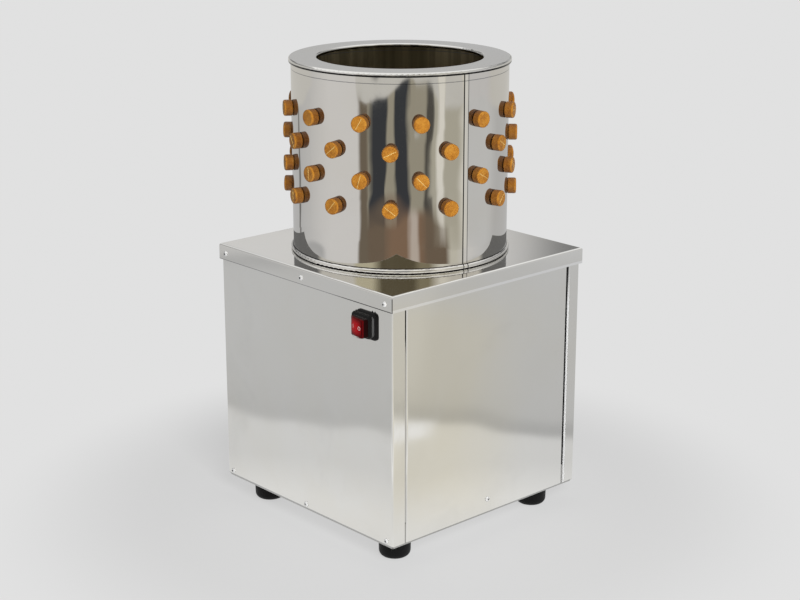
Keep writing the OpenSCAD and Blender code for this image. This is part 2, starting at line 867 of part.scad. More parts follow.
module frame_bolts() {
  color("lightslategray") {
    at_drive_bolts() bolt_and_nut(frame_bolt_r, drive_plate_t + rail_t);
    at_beam_bolts() bolt_and_nut(frame_bolt_r, beam_t + rail_t);
  }
}

// Bolt through a grip that starts at z = 0, with its nut below
module bolt_and_nut(r, grip) {
  hex_bolt(r, grip + 2 * r);
  translate([0, 0, -grip]) hex_nut(r);
}

module rubber_feet() {
  color([0.09, 0.09, 0.09]) difference() {
    four_corners() translate([foot_x, foot_y, 0]) rotate_extrude() {
      square([foot_r - foot_edge_r, foot_h]);
      translate([0, foot_edge_r]) square([foot_r, foot_h - foot_edge_r]);
      translate([foot_r - foot_edge_r, foot_edge_r]) circle(foot_edge_r);
    }
    foot_bolt_holes();
    four_corners() translate([foot_x, foot_y, -cut]) cylinder(r = foot_recess_r, h = foot_recess + cut);
  }
}

module foot_bolts() {
  color("lightslategray") four_corners() {
    translate([foot_x, foot_y, foot_recess]) mirror([0, 0, 1])
      hex_bolt(foot_bolt_r, z_floor + gusset_t + 3 * foot_bolt_r - foot_recess);
    translate([foot_x, foot_y, z_floor + gusset_t]) mirror([0, 0, 1]) hex_nut(foot_bolt_r);
  }
}

function row_z(row) = z_low_row + (finger_rows - 1 - row) * row_pitch;
function row_start(row) = seam_angle + first_finger + (row % 2) * finger_pitch / 2;

// Places its children at each finger of a row, with +Z pointing outwards from the drum wall
module at_row(row) {
  for (i = [0:fingers_per_row - 1]) rotate([0, 0, row_start(row) + i * finger_pitch])
    translate([drum_r, 0, row_z(row)]) rotate([0, 90, 0]) children();
}

module drum_shell() {
  z_bead = z_cover + bead_r;
  seam_span = seam_w / drum_r * 180 / PI;
  color("silver") difference() {
    union() {
      translate([0, 0, z_cover - skirt_h]) cylinder(r = drum_r, h = z_ring - ring_t - z_cover + skirt_h);
      translate([0, 0, z_bead]) rotate_extrude() translate([drum_r, 0]) circle(bead_r);
      rotate([0, 0, seam_angle - seam_span / 2]) translate([0, 0, z_bead]) rotate_extrude(angle = seam_span)
        translate([drum_r - drum_t / 2, 0]) square([drum_t / 2 + seam_t, z_ring - ring_t - z_bead]);
    }
    translate([0, 0, z_cover - skirt_h - cut]) cylinder(r = drum_in_r, h = drum_h + skirt_h + 2 * cut);
    for (row = [0:finger_rows - 1]) at_row(row)
      translate([0, 0, -drum_t - head_r]) cylinder(r = neck_r + fit, h = drum_t + 2 * head_r);
  }
}

module drum_top_ring() {
  r_out = drum_r + ring_overhang;
  color("silver") translate([0, 0, z_ring]) rotate_extrude() difference() {
    ring_outline(r_out, mouth_r, ring_lip, mouth_lip, ring_edge_r);
    translate([0, -ring_t])
      ring_outline(r_out - ring_t, mouth_r + ring_t, ring_lip, mouth_lip, ring_edge_r - ring_t);
  }
}

// Half section of the top ring's outer surface, hanging below y = 0
module ring_outline(r_out, r_in, lip, inner_lip, edge) {
  translate([r_in + edge, -inner_lip]) square([r_out - r_in - 2 * edge, inner_lip]);
  translate([r_in, -inner_lip]) square([edge * 2, inner_lip - edge]);
  translate([r_out - 2 * edge, -lip]) square([2 * edge, lip - edge]);
  for (r = [r_in + edge, r_out - edge]) translate([r, -edge]) circle(edge);
}

// Places its children at the four drum brackets, with +X pointing outwards
module at_brackets() {
  rotate([0, 0, 45]) ring_of(4, drum_r + run_fit) translate([0, 0, z_under_cover - run_fit]) children();
}

module drum_brackets() {
  color("silver") at_brackets() difference() {
    translate([0, -bracket_w / 2, -bracket_leg]) cube([bracket_leg, bracket_w, bracket_leg]);
    translate([bracket_t, -bracket_w / 2 - cut, -bracket_leg - cut])
      cube([bracket_leg, bracket_w + 2 * cut, bracket_leg - bracket_t + cut]);
    translate([stud_out, 0, -bracket_leg]) cylinder(r = stud_r + fit, h = 2 * bracket_leg);
  }
}

module drum_nuts() {
  color("gainsboro") at_brackets() translate([stud_out, 0, 0]) {
    translate([0, 0, -bracket_t - 3 * stud_r]) cylinder(r = stud_r, h = bracket_t + 3 * stud_r);
    translate([0, 0, -bracket_t]) hex_nut(stud_r);
  }
}

// Outline of a finger: z = 0 under its head, the seat below, then the collar and the ribbed taper
function rib_z(i) = -finger_len * i / (2 * rib_count + 1);
function rib_r(i) =
  finger_root_r + (finger_tip_r - finger_root_r) * i / (2 * rib_count + 1) + (i % 2 == 1 ? rib_h : 0);

module finger(seat) {
  z_collar = -seat - collar_h;
  rotate_extrude($fn = 48) polygon(concat(
    [[0, head_h], [head_r - head_edge_r, head_h]],
    [for (a = [60, 30]) [head_r, head_h] + head_edge_r * [cos(a) - 1, sin(a) - 1]],
    [[head_r, head_h - head_edge_r], [head_r, 0], [neck_r, 0], [neck_r, -seat]],
    [[collar_r, -seat], [collar_r, z_collar + collar_edge], [collar_r - collar_edge, z_collar]],
    [for (i = [0:2 * rib_count + 1]) [rib_r(i), z_collar + rib_z(i)]],
    [[0, z_collar + rib_z(2 * rib_count + 1)]]
  ));
}

module wall_fingers(row) {
  color([0.80, 0.53, 0.16]) at_row(row) translate([0, 0, fit]) finger(finger_seat);
}

// Places its children at each plate finger, with +Z pointing down from the plate's underside
module at_plate_fingers() {
  ring_of(outer_ring_count, outer_ring_r) translate([0, 0, z_plate]) mirror([0, 0, 1]) children();
  ring_of(inner_ring_count, inner_ring_r) translate([0, 0, z_plate]) mirror([0, 0, 1]) children();
}

module feather_plate() {
  color("silver") difference() {
    translate([0, 0, z_plate]) cylinder(r = plate_r, h = plate_t);
    translate([0, 0, z_plate - cut]) cylinder(r = shaft_r + run_fit, h = plate_t + 2 * cut);
    at_plate_fingers() translate([0, 0, -plate_t - cut]) cylinder(r = neck_r + fit, h = plate_t + 2 * cut);
    at_hub_bolts() bolt_through(hub_bolt_r);
  }
}

module plate_fingers() {
  color([0.80, 0.53, 0.16]) at_plate_fingers() translate([0, 0, fit]) finger(plate_seat);
}

module at_hub_bolts() {
  for (a = [30:60:330]) rotate([0, 0, a]) translate([hub_bolt_circle_r, 0, z_plate_top]) children();
}

module bolt_through(r) {
  translate([0, 0, -plate_t - hub_flange_t - cut])
    cylinder(r = r + fit, h = plate_t + hub_flange_t + 2 * cut);
}

module hub_bolts() {
  color("gainsboro") at_hub_bolts() bolt_and_nut(hub_bolt_r, plate_t + hub_flange_t);
}

module plate_hub() {
  color("lightslategray") difference() {
    union() {
      translate([0, 0, z_hub]) cylinder(r = hub_r, h = hub_h + cut);
      translate([0, 0, z_plate - hub_flange_t]) cylinder(r = hub_flange_r, h = hub_flange_t);
    }
    translate([0, 0, z_hub - cut]) cylinder(r = shaft_r + run_fit, h = hub_h + hub_flange_t + 2 * cut);
    at_hub_bolts() bolt_through(hub_bolt_r);
    key_block(z_hub - cut, hub_h + hub_flange_t + 2 * cut, fit);
  }
}

// Block of a shaft key on the +X side of the main shaft
module key_block(z, len, room) {
  translate([shaft_r - key_h / 2 - room, -key_w / 2 - room, z])
    cube([key_h + 2 * room, key_w + 2 * room, len]);
}

module shaft_keys() {
  color("slategray") for (key = [hub_key, pulley_key]) key_block(key[0], key[1], 0);
}

module main_shaft() {
  shoulder = z_plate_top - shoulder_gap;
  color("lightgray") difference() {
    union() {
      translate([0, 0, z_shaft_end]) cylinder(r = shaft_r, h = shoulder - z_shaft_end);
      translate([0, 0, shoulder - cut]) cylinder(r = thread_r, h = washer_t + thread_len + cut);
    }
    for (key = [hub_key, pulley_key]) key_block(key[0] - fit, key[1] + 2 * fit, fit);
  }
}

module plate_washer() {
  color("silver") translate([0, 0, z_plate_top]) ring(washer_r, thread_r + fit, washer_t);
}

module plate_cap_nut() {
  hex_h = 1.5 * thread_r;
  dome_r = 1.45 * thread_r;
  color("gainsboro") translate([0, 0, z_plate_top + washer_t]) difference() {
    union() {
      cylinder(r = hex_k * thread_r, h = hex_h, $fn = 6);
      intersection() {
        translate([0, 0, hex_h]) sphere(dome_r);
        cylinder(r = 2 * thread_r, h = hex_h + 2 * dome_r);
      }
    }
    translate([0, 0, -cut]) cylinder(r = thread_r + run_fit, h = thread_len + cut);
  }
}

module splash_cup() {
  color([0.12, 0.12, 0.12]) translate([0, 0, z_hub - cup_h]) difference() {
    cylinder(r = cup_r + cup_t, h = cup_h);
    translate([0, 0, -cut]) cylinder(r = cup_r, h = cup_h - cup_t + cut);
    translate([0, 0, -cut]) cylinder(r = shaft_r + run_fit, h = cup_h + 2 * cut);
  }
}

// Plan of the chute: square under the drum, drawn in to the outlet
module chute_plan(half, front, out_half) {
  taper_y = drum_r / 3;
  polygon([
    [-half, front], [half, front], [half, taper_y], [out_half, chute_end_y],
    [-out_half, chute_end_y], [-half, taper_y]
  ]);
}

// All space above the sloping plane that passes the axis at height z
module above_slope(z) {
  size = 2 * cover_d;
  translate([0, 0, z]) rotate([-chute_angle, 0, 0])
    translate([-size, -size, 0]) cube([2 * size, 2 * size, size]);
}

module feather_chute() {
  z_axis = chute_z(0);
  collar_top = z_axis + chute_collar_h;
  color("silver") difference() {
    union() {
      difference() {
        intersection() {
          linear_extrude(z_under_cover)
            chute_plan(chute_half + chute_t, -chute_half - chute_t, outlet_w / 2 + chute_t);
          above_slope(z_axis - chute_skin);
        }
        intersection() {
          linear_extrude(z_under_cover + cut) chute_plan(chute_half, -chute_half, outlet_w / 2);
          above_slope(z_axis);
        }
        translate([-outlet_w / 2, chute_end_y - cut, z_outlet]) cube([outlet_w, 2 * cut, cabinet_h]);
      }
      intersection() {
        cylinder(r = chute_collar_r + chute_t, h = collar_top);
        above_slope(z_axis - chute_skin);
      }
      for (side = [0, 1]) mirror([side, 0, 0])
        translate([chute_half, -chute_half, z_under_cover - chute_t])
          cube([chute_t + chute_flange, chute_half + drum_r / 3, chute_t]);
    }
    cylinder(r = chute_collar_r, h = collar_top + cut);
  }
}

module outlet_spout() {
  wide = outlet_w + 2 * spout_t;
  tall = outlet_h + 2 * spout_t;
  color("silver") difference() {
    union() {
      translate([-wide / 2, spout_y, z_outlet - spout_t]) cube([wide, spout_out, tall]);
      translate([-wide / 2 - spout_flange, spout_y, z_outlet - spout_t])
        cube([wide + 2 * spout_flange, spout_t, tall]);
    }
    translate([-outlet_w / 2, spout_y - cut, z_outlet]) cube([outlet_w, spout_out + 2 * cut, outlet_h]);
    spout_screw_holes();
  }
}

module upper_beam() {
  color("dimgray") difference() {
    union() {
      translate([-plate_half, -beam_front, z_beam]) cube([2 * plate_half, beam_front + beam_back, beam_t]);
      for (y = [-beam_front, beam_back - beam_t])
        translate([-beam_leg_half, y, z_beam - beam_leg])
          cube([2 * beam_leg_half, beam_t, beam_leg + beam_t]);
    }
    translate([0, 0, z_beam - cut]) cylinder(r = shaft_hole_r, h = beam_t + 2 * cut);
    at_beam_bolts() bolt_hole();
    at_bearing_bolts(z_upper_seat) bearing_bolt_hole();
  }
}

module drive_plate() {
  color("dimgray") difference() {
    translate([-plate_half, drive_front_y, z_drive])
      cube([2 * plate_half, drive_back_y - drive_front_y, drive_plate_t]);
    translate([0, 0, z_drive - cut]) cylinder(r = shaft_hole_r, h = drive_plate_t + 2 * cut);
    at_drive_bolts() bolt_hole();
    at_bearing_bolts(z_drive_top) bearing_bolt_hole();
    at_motor() translate([0, 0, z_drive_top]) {
      slot(2 * motor_shaft_r, slot_travel, 3 * drive_plate_t);
      at_motor_bolts() slot(motor_bolt_r + fit, slot_travel, 3 * drive_plate_t);
    }
  }
}

// Places its children on a bearing's bolts, from the top of its flange
module at_bearing_bolts(seat) {
  for (x = [-1, 1]) translate([x * housing_bolt_x, 0, seat + housing_flange_t]) children();
}

module bearing_bolt_hole() {
  translate([0, 0, -bolt_hole_depth]) cylinder(r = bearing_bolt_r + fit, h = bolt_hole_depth + cut);
}

module bearing_bolts() {
  color("lightslategray") {
    at_bearing_bolts(z_upper_seat) bolt_and_nut(bearing_bolt_r, housing_flange_t + beam_t);
    at_bearing_bolts(z_drive_top) bolt_and_nut(bearing_bolt_r, housing_flange_t + drive_plate_t);
  }
}

// Two-bolt flange housing standing on z = 0: its web runs just inside the boss and the ears
module bearing_housing() {
  spread = acos((housing_r - housing_ear_r) / housing_bolt_x);
  near = (housing_r - web_sink) * [cos(spread), sin(spread)];
  far = [housing_bolt_x, 0] + (housing_ear_r - web_sink) * [cos(spread), sin(spread)];
  difference() {
    union() {
      cylinder(r = housing_r, h = housing_h);
      for (x = [-1, 1]) translate([x * housing_bolt_x, 0, 0])
        cylinder(r = housing_ear_r, h = housing_flange_t);
      linear_extrude(housing_flange_t) polygon([
        near, far, [far[0], -far[1]], [near[0], -near[1]],
        [-near[0], -near[1]], [-far[0], -far[1]], [-far[0], far[1]], [-near[0], near[1]]
      ]);
    }
    translate([0, 0, -cut]) cylinder(r = bearing_r + run_fit, h = housing_h + 2 * cut);
    at_bearing_bolts(0) bearing_bolt_hole();
  }
}

module upper_bearing_housing() {
  color("steelblue") translate([0, 0, z_upper_seat]) bearing_housing();
}

module lower_bearing_housing() {
  color("steelblue") translate([0, 0, z_drive_top]) bearing_housing();
}

// Places its children at the middle of each bearing
module at_bearings() {
  for (z = seats) translate([0, 0, z + housing_h / 2]) children();
}

module ball_groove() {
  rotate_extrude() translate([ball_circle_r, 0]) circle(race_r);
}

module bearing_outer_rings() {
  color("lightgray") at_bearings() difference() {
    translate([0, 0, -bearing_w / 2]) ring(bearing_r, ball_circle_r + ring_gap, bearing_w);
    ball_groove();
  }
}

module bearing_inner_rings() {
  color("gainsboro") at_bearings() difference() {
    translate([0, 0, -bearing_w / 2]) ring(ball_circle_r - ring_gap, shaft_r + run_fit, bearing_inner_w);
    ball_groove();
  }
}

module bearing_balls() {
  color("white") at_bearings() ring_of(ball_count, ball_circle_r) sphere(ball_r, $fn = 32);
}

// Section of the belt about its middle line: x outwards, y along the pulley's axis
module belt_section() {
  half = belt_w / 2;
  narrow = half - belt_h * tan(belt_wedge);
  polygon([[belt_h / 2, half], [-belt_h / 2, narrow], [-belt_h / 2, -narrow], [belt_h / 2, -half]]);
}

// Groove for the belt in a pulley of outside radius r, deeper than the belt
module belt_groove(r) {
  half = belt_w / 2 + moving_gap + belt_sink * tan(belt_wedge);
  deep = belt_sink + belt_h + groove_room;
  narrow = half - deep * tan(belt_wedge);
  rotate_extrude() polygon([
    [r + cut, half + cut * tan(belt_wedge)], [r - deep, narrow],
    [r - deep, -narrow], [r + cut, -half - cut * tan(belt_wedge)]
  ]);
}

module driven_pulley() {
  inside_r = driven_r - pulley_rim_w;
  hole_r = (inside_r - pulley_boss_r) / 2 - pulley_hole_wall;
  color("darkgray") difference() {
    union() {
      translate([0, 0, z_rim]) ring(driven_r, inside_r, pulley_w);
      translate([0, 0, z_belt - pulley_web_t / 2]) cylinder(r = inside_r + cut, h = pulley_web_t);
      translate([0, 0, z_rim - pulley_boss_drop])
        cylinder(r = pulley_boss_r, h = pulley_w + pulley_boss_drop);
    }
    translate([0, 0, z_belt]) belt_groove(driven_r);
    translate([0, 0, z_shaft_end]) cylinder(r = shaft_r + run_fit, h = 3 * pulley_w);
    key_block(z_shaft_end, 3 * pulley_w, fit);
    ring_of(pulley_holes, (inside_r + pulley_boss_r) / 2)
      translate([0, 0, z_rim]) cylinder(r = hole_r, h = pulley_w);
  }
}

// Places its children on the motor's axis, with +X pointing away from the main shaft
module at_motor() {
  translate([motor_x, motor_y, 0]) rotate([0, 0, belt_dir]) children();
}

module motor_pulley() {
  color("darkgray") at_motor() difference() {
    translate([0, 0, z_rim]) cylinder(r = motor_pulley_r, h = pulley_w);
    translate([0, 0, z_belt]) belt_groove(motor_pulley_r);
    translate([0, 0, z_rim - cut]) cylinder(r = motor_shaft_r + run_fit, h = pulley_w + 2 * cut);
  }
}

// Belt: an arc round each pulley and two straight runs between them
module v_belt() {
  color([0.1, 0.1, 0.1]) translate([0, 0, z_belt]) rotate([0, 0, belt_dir]) {
    belt_arc(driven_pitch_r, 90 - belt_lean, 180 + 2 * belt_lean);
    translate([belt_c, 0, 0]) belt_arc(motor_pitch_r, belt_lean - 90, 180 - 2 * belt_lean);
    for (side = [0, 1]) mirror([0, side, 0]) rotate([0, 0, 90 - belt_lean]) translate([driven_pitch_r, 0, 0])
      translate([0, fit, 0]) rotate([90, 0, 0]) linear_extrude(belt_run + 2 * fit) belt_section();
  }
}

module belt_arc(r, start, sweep) {
  rotate([0, 0, start]) rotate_extrude(angle = sweep) translate([r, 0]) belt_section();
}

module at_motor_bolts() {
  for (a = [45:90:315]) translate(motor_bolt_circle_r * [cos(a), sin(a), 0]) children();
}

module motor_flange() {
  color("darkslategray") at_motor() translate([0, 0, z_drive_top]) difference() {
    cylinder(r = motor_r, h = motor_flange_t);
    translate([0, 0, -cut]) cylinder(r = motor_shaft_r + cut, h = motor_flange_t + 2 * cut);
    translate([0, 0, flange_lip]) cylinder(r = motor_bearing_r + run_fit, h = motor_flange_t);
    at_motor_bolts() translate([0, 0, -cut])
      cylinder(r = motor_bolt_r + run_fit, h = motor_flange_t + 2 * cut);
  }
}

module motor_housing() {
  color("darkslategray") at_motor() translate([0, 0, z_motor]) difference() {
    union() {
      cylinder(r = motor_barrel_r, h = motor_len);
      ring_of(fin_count, motor_barrel_r - fin_root) translate([0, -fin_t / 2, fin_margin])
        cube([motor_r - motor_barrel_r + fin_root, fin_t, motor_len - 2 * fin_margin]);
    }
    translate([0, 0, -cut]) cylinder(r = motor_bore_r, h = motor_len + 2 * cut);
  }
}

module motor_end_shield() {
  color("darkslategray") at_motor() translate([0, 0, z_shield]) difference() {
    cylinder(r = motor_barrel_r, h = end_shield_t);
    translate([0, 0, -cut]) cylinder(r = motor_shaft_r + cut, h = end_shield_t + 2 * cut);
    translate([0, 0, -cut]) cylinder(r = motor_bearing_r + run_fit, h = end_shield_t - flange_lip + cut);
  }
}

module motor_fan_cover() {
  top = fan_cover_h + end_shield_t;
  color("dimgray") at_motor() translate([0, 0, z_shield]) difference() {
    cylinder(r = fan_cover_r, h = top);
    translate([0, 0, -cut]) cylinder(r = fan_cover_r - fan_cover_t, h = top - fan_cover_t + cut);
    for (r = grille_rings) ring_of(grille_holes, r)
      translate([0, 0, top - 2 * fan_cover_t]) cylinder(r = grille_hole_r, h = 3 * fan_cover_t);
  }
}

module motor_fan() {
  color("black") at_motor() translate([0, 0, z_fan]) difference() {
    union() {
      cylinder(r = 2 * motor_shaft_r, h = fan_h);
      cylinder(r = fan_r, h = fan_t);
      ring_of(fan_blades, motor_shaft_r + fan_t) translate([0, -fan_t / 2, fan_t / 2])
        cube([fan_r - motor_shaft_r - 2 * fan_t, fan_t, fan_h - fan_t]);
    }
    translate([0, 0, -cut]) cylinder(r = motor_shaft_r + run_fit, h = fan_h + 2 * cut);
  }
}

module motor_bearings() {
  color("lightgray") at_motor() for (z = [z_drive_top + flange_lip, z_shield])
    translate([0, 0, z]) ring(motor_bearing_r, motor_shaft_r + run_fit, motor_bearing_w);
}

module motor_shaft() {
  color("lightgray") at_motor() translate([0, 0, z_motor_shaft])
    cylinder(r = motor_shaft_r, h = z_fan + fan_h + fan_t - z_motor_shaft);
}

module rotor_core() {
  color("slategray") at_motor() translate([0, 0, z_core]) ring(rotor_r, motor_shaft_r + run_fit, core_len);
}

module stator_core() {
  color("slategray") at_motor() translate([0, 0, z_core])
    ring(motor_bore_r - run_fit, rotor_r + air_gap, core_len);
}

module stator_windings() {
  color("peru") at_motor() for (z = [z_core - winding_h, z_core + core_len])
    translate([0, 0, z]) ring(motor_bore_r - winding_gap, rotor_r + winding_gap, winding_h);
}

module motor_bolts() {
  color("lightslategray") at_motor() translate([0, 0, z_drive]) at_motor_bolts()
    mirror([0, 0, 1]) hex_bolt(motor_bolt_r, drive_plate_t + motor_flange_t - flange_lip);
}

module terminal_box() {
  color("darkslategray") difference() {
    translate([motor_x + motor_barrel_r - box_root, motor_y - box_w / 2, box_z])
      cube([box_x - motor_x - motor_barrel_r + box_root, box_w, box_h]);
    translate([motor_x, motor_y, 0]) cylinder(r = motor_r + fit, h = z_shield);
  }
}

module capacitor() {
  color("whitesmoke") translate([cap_x, cap_y, z_drive_top]) {
    cylinder(r = cap_r, h = cap_h);
    for (x = [-1, 1]) translate([cap_tab_x * x, 0, cap_h - cut]) cylinder(r = cap_tab_r, h = cap_tab_h);
  }
}

// Ring of points round a route point, square to the route there
function unit(v) = v / norm(v);
function heading(p, i) = unit(p[min(i + 1, len(p) - 1)] - p[max(i - 1, 0)]);
function side_of(d) = unit(cross(d, [0.3, 1, 0.2]));
function hoop(c, d, r, n) = [for (k = [0:n - 1])
  c + r * (cos(360 * k / n) * side_of(d) + sin(360 * k / n) * cross(d, side_of(d)))];

// Point on the smooth curve through four route points
function smooth(a, b, c, d, t) = 0.5 * (2 * b + (c - a) * t + (2 * a - 5 * b + 4 * c - d) * t * t
  + (3 * b - a - 3 * c + d) * t * t * t);
function smooth_route(p, steps) = concat([for (i = [0:len(p) - 2], s = [0:steps - 1])
  smooth(p[max(i - 1, 0)], p[i], p[i + 1], p[min(i + 2, len(p) - 1)], s / steps)], [p[len(p) - 1]]);

module tube(route, r, sides) {
  rows = len(route);
  points = concat([for (i = [0:rows - 1]) each hoop(route[i], heading(route, i), r, sides)],
    [route[0], route[rows - 1]]);
  faces = concat(
    [for (i = [0:rows - 2], k = [0:sides - 1]) each let (a = i * sides + k, b = i * sides + (k + 1) % sides)
      [[a, b, a + sides], [b, b + sides, a + sides]]],
    [for (k = [0:sides - 1]) [rows * sides, (k + 1) % sides, k]],
    [for (k = [0:sides - 1]) let (last = (rows - 1) * sides)
      [rows * sides + 1, last + k, last + (k + 1) % sides]]
  );
  polyhedron(points, faces);
}

module motor_cable() {
  color([0.1, 0.1, 0.1]) tube(smooth_route(cable_route, 4), cable_r, 10);
}

// Places its children on the switch's centre, with +Z pointing out of the front panel
module at_switch() {
  translate([switch_x, switch_y, switch_z]) rotate([90, 0, 0]) children();
}

module switch_housing() {
  color([0.07, 0.07, 0.07]) at_switch() difference() {
    union() {
      linear_extrude(switch_flange_t) round_rect(switch_w, switch_h, switch_flange_corner);
      linear_extrude(switch_collar_out) round_rect(collar_w, collar_box_h, collar_corner);
      for (i = [1, 3]) translate([0, 0, switch_flange_t + i * switch_rib_t]) linear_extrude(switch_rib_t)
        round_rect(collar_w + 2 * switch_rib, collar_box_h + 2 * switch_rib, collar_corner + switch_rib);
      translate([-switch_body_w / 2, -switch_body_h / 2, -panel_t - switch_body_d])
        cube([switch_body_w, switch_body_h, switch_body_d + panel_t + cut]);
      for (x = [-1, 1], y = [-1, 1])
        translate([x * switch_tab_at[0], y * switch_tab_at[1], fit - panel_t - switch_body_d])
          translate([0, 0, -switch_tab[2] / 2]) cube(switch_tab, center = true);
    }
    translate([-cavity_w / 2, -cavity_h / 2, pivot_out - rocker_back - rocker_floor])
      cube([cavity_w, cavity_h, switch_collar_out]);
    translate([0, 0, pivot_out]) rotate([90, 0, 0])
      cylinder(r = pivot_r + run_fit, h = pivot_h, center = true);
  }
}

module switch_rocker() {
  crown_z = rocker_out - pivot_out;
  color([0.75, 0.05, 0.06]) at_switch() translate([0, 0, pivot_out]) rotate([0, -rocker_tilt, 0]) {
    intersection() {
      translate([-rocker_w / 2, -rocker_h / 2, -rocker_back])
        cube([rocker_w, rocker_h, crown_z + rocker_back]);
      translate([0, 0, crown_z - rocker_crown_r]) rotate([90, 0, 0])
        cylinder(r = rocker_crown_r, h = 2 * rocker_h, center = true);
    }
    rotate([90, 0, 0]) cylinder(r = pivot_r, h = pivot_h - 2 * fit, center = true);
  }
}

module cable_gland() {
  color([0.1, 0.1, 0.1]) translate([gland_x, body_d / 2, z_gland]) rotate([-90, 0, 0]) {
    difference() {
      union() {
        cylinder(r = gland_hex_r, h = gland_hex_h, $fn = 6);
        cylinder(r = gland_body_r, h = gland_out - gland_cone_h);
        translate([0, 0, gland_out - gland_cone_h])
          cylinder(r1 = gland_body_r, r2 = gland_bore_r + gland_lip, h = gland_cone_h);
        translate([0, 0, -gland_in]) cylinder(r = gland_thread_r, h = gland_in + cut);
      }
      translate([0, 0, -gland_in - cut]) cylinder(r = gland_bore_r, h = gland_in + gland_out + 2 * cut);
    }
    translate([0, 0, -panel_t - gland_nut_h]) difference() {
      cylinder(r = gland_hex_r, h = gland_nut_h, $fn = 6);
      translate([0, 0, -cut]) cylinder(r = gland_thread_r + run_fit, h = gland_nut_h + 2 * cut);
    }
  }
}

top_cover();
front_panel();
rear_panel();
left_panel();
right_panel();
bottom_pan();
panel_screws();
corner_posts();
lower_rails();
upper_rails();
rubber_feet();
foot_bolts();
drum_shell();
drum_top_ring();
drum_brackets();
drum_nuts();
wall_fingers(0);  // wall_fingers_1
wall_fingers(1);  // wall_fingers_2
wall_fingers(2);  // wall_fingers_3
wall_fingers(3);  // wall_fingers_4
feather_plate();
plate_fingers();
plate_hub();
hub_bolts();
plate_washer();
plate_cap_nut();
main_shaft();
shaft_keys();
splash_cup();
feather_chute();
outlet_spout();
upper_beam();
drive_plate();
frame_bolts();
upper_bearing_housing();
lower_bearing_housing();
bearing_outer_rings();
bearing_inner_rings();
bearing_balls();
bearing_bolts();
driven_pulley();
motor_pulley();
v_belt();
motor_flange();
motor_housing();
motor_end_shield();
motor_fan();
motor_fan_cover();
motor_bearings();
motor_shaft();
rotor_core();
stator_core();
stator_windings();
motor_bolts();
terminal_box();
capacitor();
motor_cable();
switch_housing();
switch_rocker();
cable_gland();
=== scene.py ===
# %% [markdown]
# A tub poultry plucker, dressed in Blender
#
# The CAD model gives every sheet, shaft and bolt its true size, and it arrives here as the frame.
# This script adds what the eye reads first: polished steel, moulded rubber, the lit rocker and the
# small shapes that a maker's tools leave. Nothing here changes the object's size.

# %% The frame, and a helper for the boxes of its parts
import math
import random

import bpy
from mathutils import Matrix, Vector


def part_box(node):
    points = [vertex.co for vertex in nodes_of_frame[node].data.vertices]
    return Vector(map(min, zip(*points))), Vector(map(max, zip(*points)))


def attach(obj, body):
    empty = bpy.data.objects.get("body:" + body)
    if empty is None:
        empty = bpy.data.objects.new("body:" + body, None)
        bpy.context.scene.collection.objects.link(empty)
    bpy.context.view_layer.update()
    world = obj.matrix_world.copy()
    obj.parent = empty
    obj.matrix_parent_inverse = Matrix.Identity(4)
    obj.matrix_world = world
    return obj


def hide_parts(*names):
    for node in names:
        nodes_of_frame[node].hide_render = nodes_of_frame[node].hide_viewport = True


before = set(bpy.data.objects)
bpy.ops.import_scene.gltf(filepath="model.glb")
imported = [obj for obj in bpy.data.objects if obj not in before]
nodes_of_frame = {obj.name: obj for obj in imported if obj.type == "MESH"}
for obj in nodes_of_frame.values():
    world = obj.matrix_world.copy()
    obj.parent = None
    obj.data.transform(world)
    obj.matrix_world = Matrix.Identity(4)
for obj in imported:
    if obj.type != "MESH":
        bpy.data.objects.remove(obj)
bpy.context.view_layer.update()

MM = 0.001

# %% [markdown]
# The camera comes first, because everything after it is compared with the photograph.
# A camera is a place, a direction and a lens. The lens follows from how strongly the far edges of
# the cabinet draw together: here they ask for a long lens from about two and a half metres.

# %% Camera at the photograph's viewing angle
CAMERA_AZIMUTH = math.radians(-42.45)
CAMERA_HEIGHT_ANGLE = math.radians(16.68)
CAMERA_DISTANCE = 2.4597
CAMERA_TARGET = Vector((0, 0, 0.3061))
FOCAL_PIXELS = 1722.3
IMAGE_WIDTH = 800
SENSOR = 36.0

level = math.cos(CAMERA_HEIGHT_ANGLE)
to_camera = Vector((level * math.cos(CAMERA_AZIMUTH), level * math.sin(CAMERA_AZIMUTH),
                    math.sin(CAMERA_HEIGHT_ANGLE)))
camera_data = bpy.data.cameras.new("photo_camera")
camera_data.sensor_fit = "HORIZONTAL"
camera_data.sensor_width = SENSOR
camera_data.lens = FOCAL_PIXELS * SENSOR / IMAGE_WIDTH
camera = bpy.data.objects.new("photo_camera", camera_data)
bpy.context.scene.collection.objects.link(camera)
camera.location = CAMERA_TARGET + CAMERA_DISTANCE * to_camera
camera.rotation_euler = to_camera.to_track_quat("Z", "Y").to_euler()
bpy.context.scene.camera = camera
bpy.context.scene.view_settings.view_transform = "Standard"
print("camera at", [round(v, 3) for v in camera.location], "lens", round(camera_data.lens, 1))

# %% [markdown]
# Materials are built from nodes, which by hand are dragged in and wired one by one. Short helpers do that
# here, so that the cells below read like a list of what is mixed. add() places a node and fills its inputs,
# noise() is a cloudy pattern, and ramp() turns a value into colours by a list of stops.

# %% Helpers for node trees
def add(tree, kind, inputs=None, **settings):
    node = tree.nodes.new(kind)
    for name, value in settings.items():
        setattr(node, name, value)
    for name, value in (inputs or {}).items():
        socket = node.inputs[name]
        if isinstance(value, bpy.types.NodeSocket):
            tree.links.new(value, socket)
        else:
            socket.default_value = value
    return node


def noise(tree, vector, scale, detail=2.0, rough=0.5, warp=0.0):
    node = add(tree, "ShaderNodeTexNoise", {"Vector": vector, "Scale": scale, "Detail": detail,
                                            "Roughness": rough, "Distortion": warp})
    return node.outputs["Fac"]


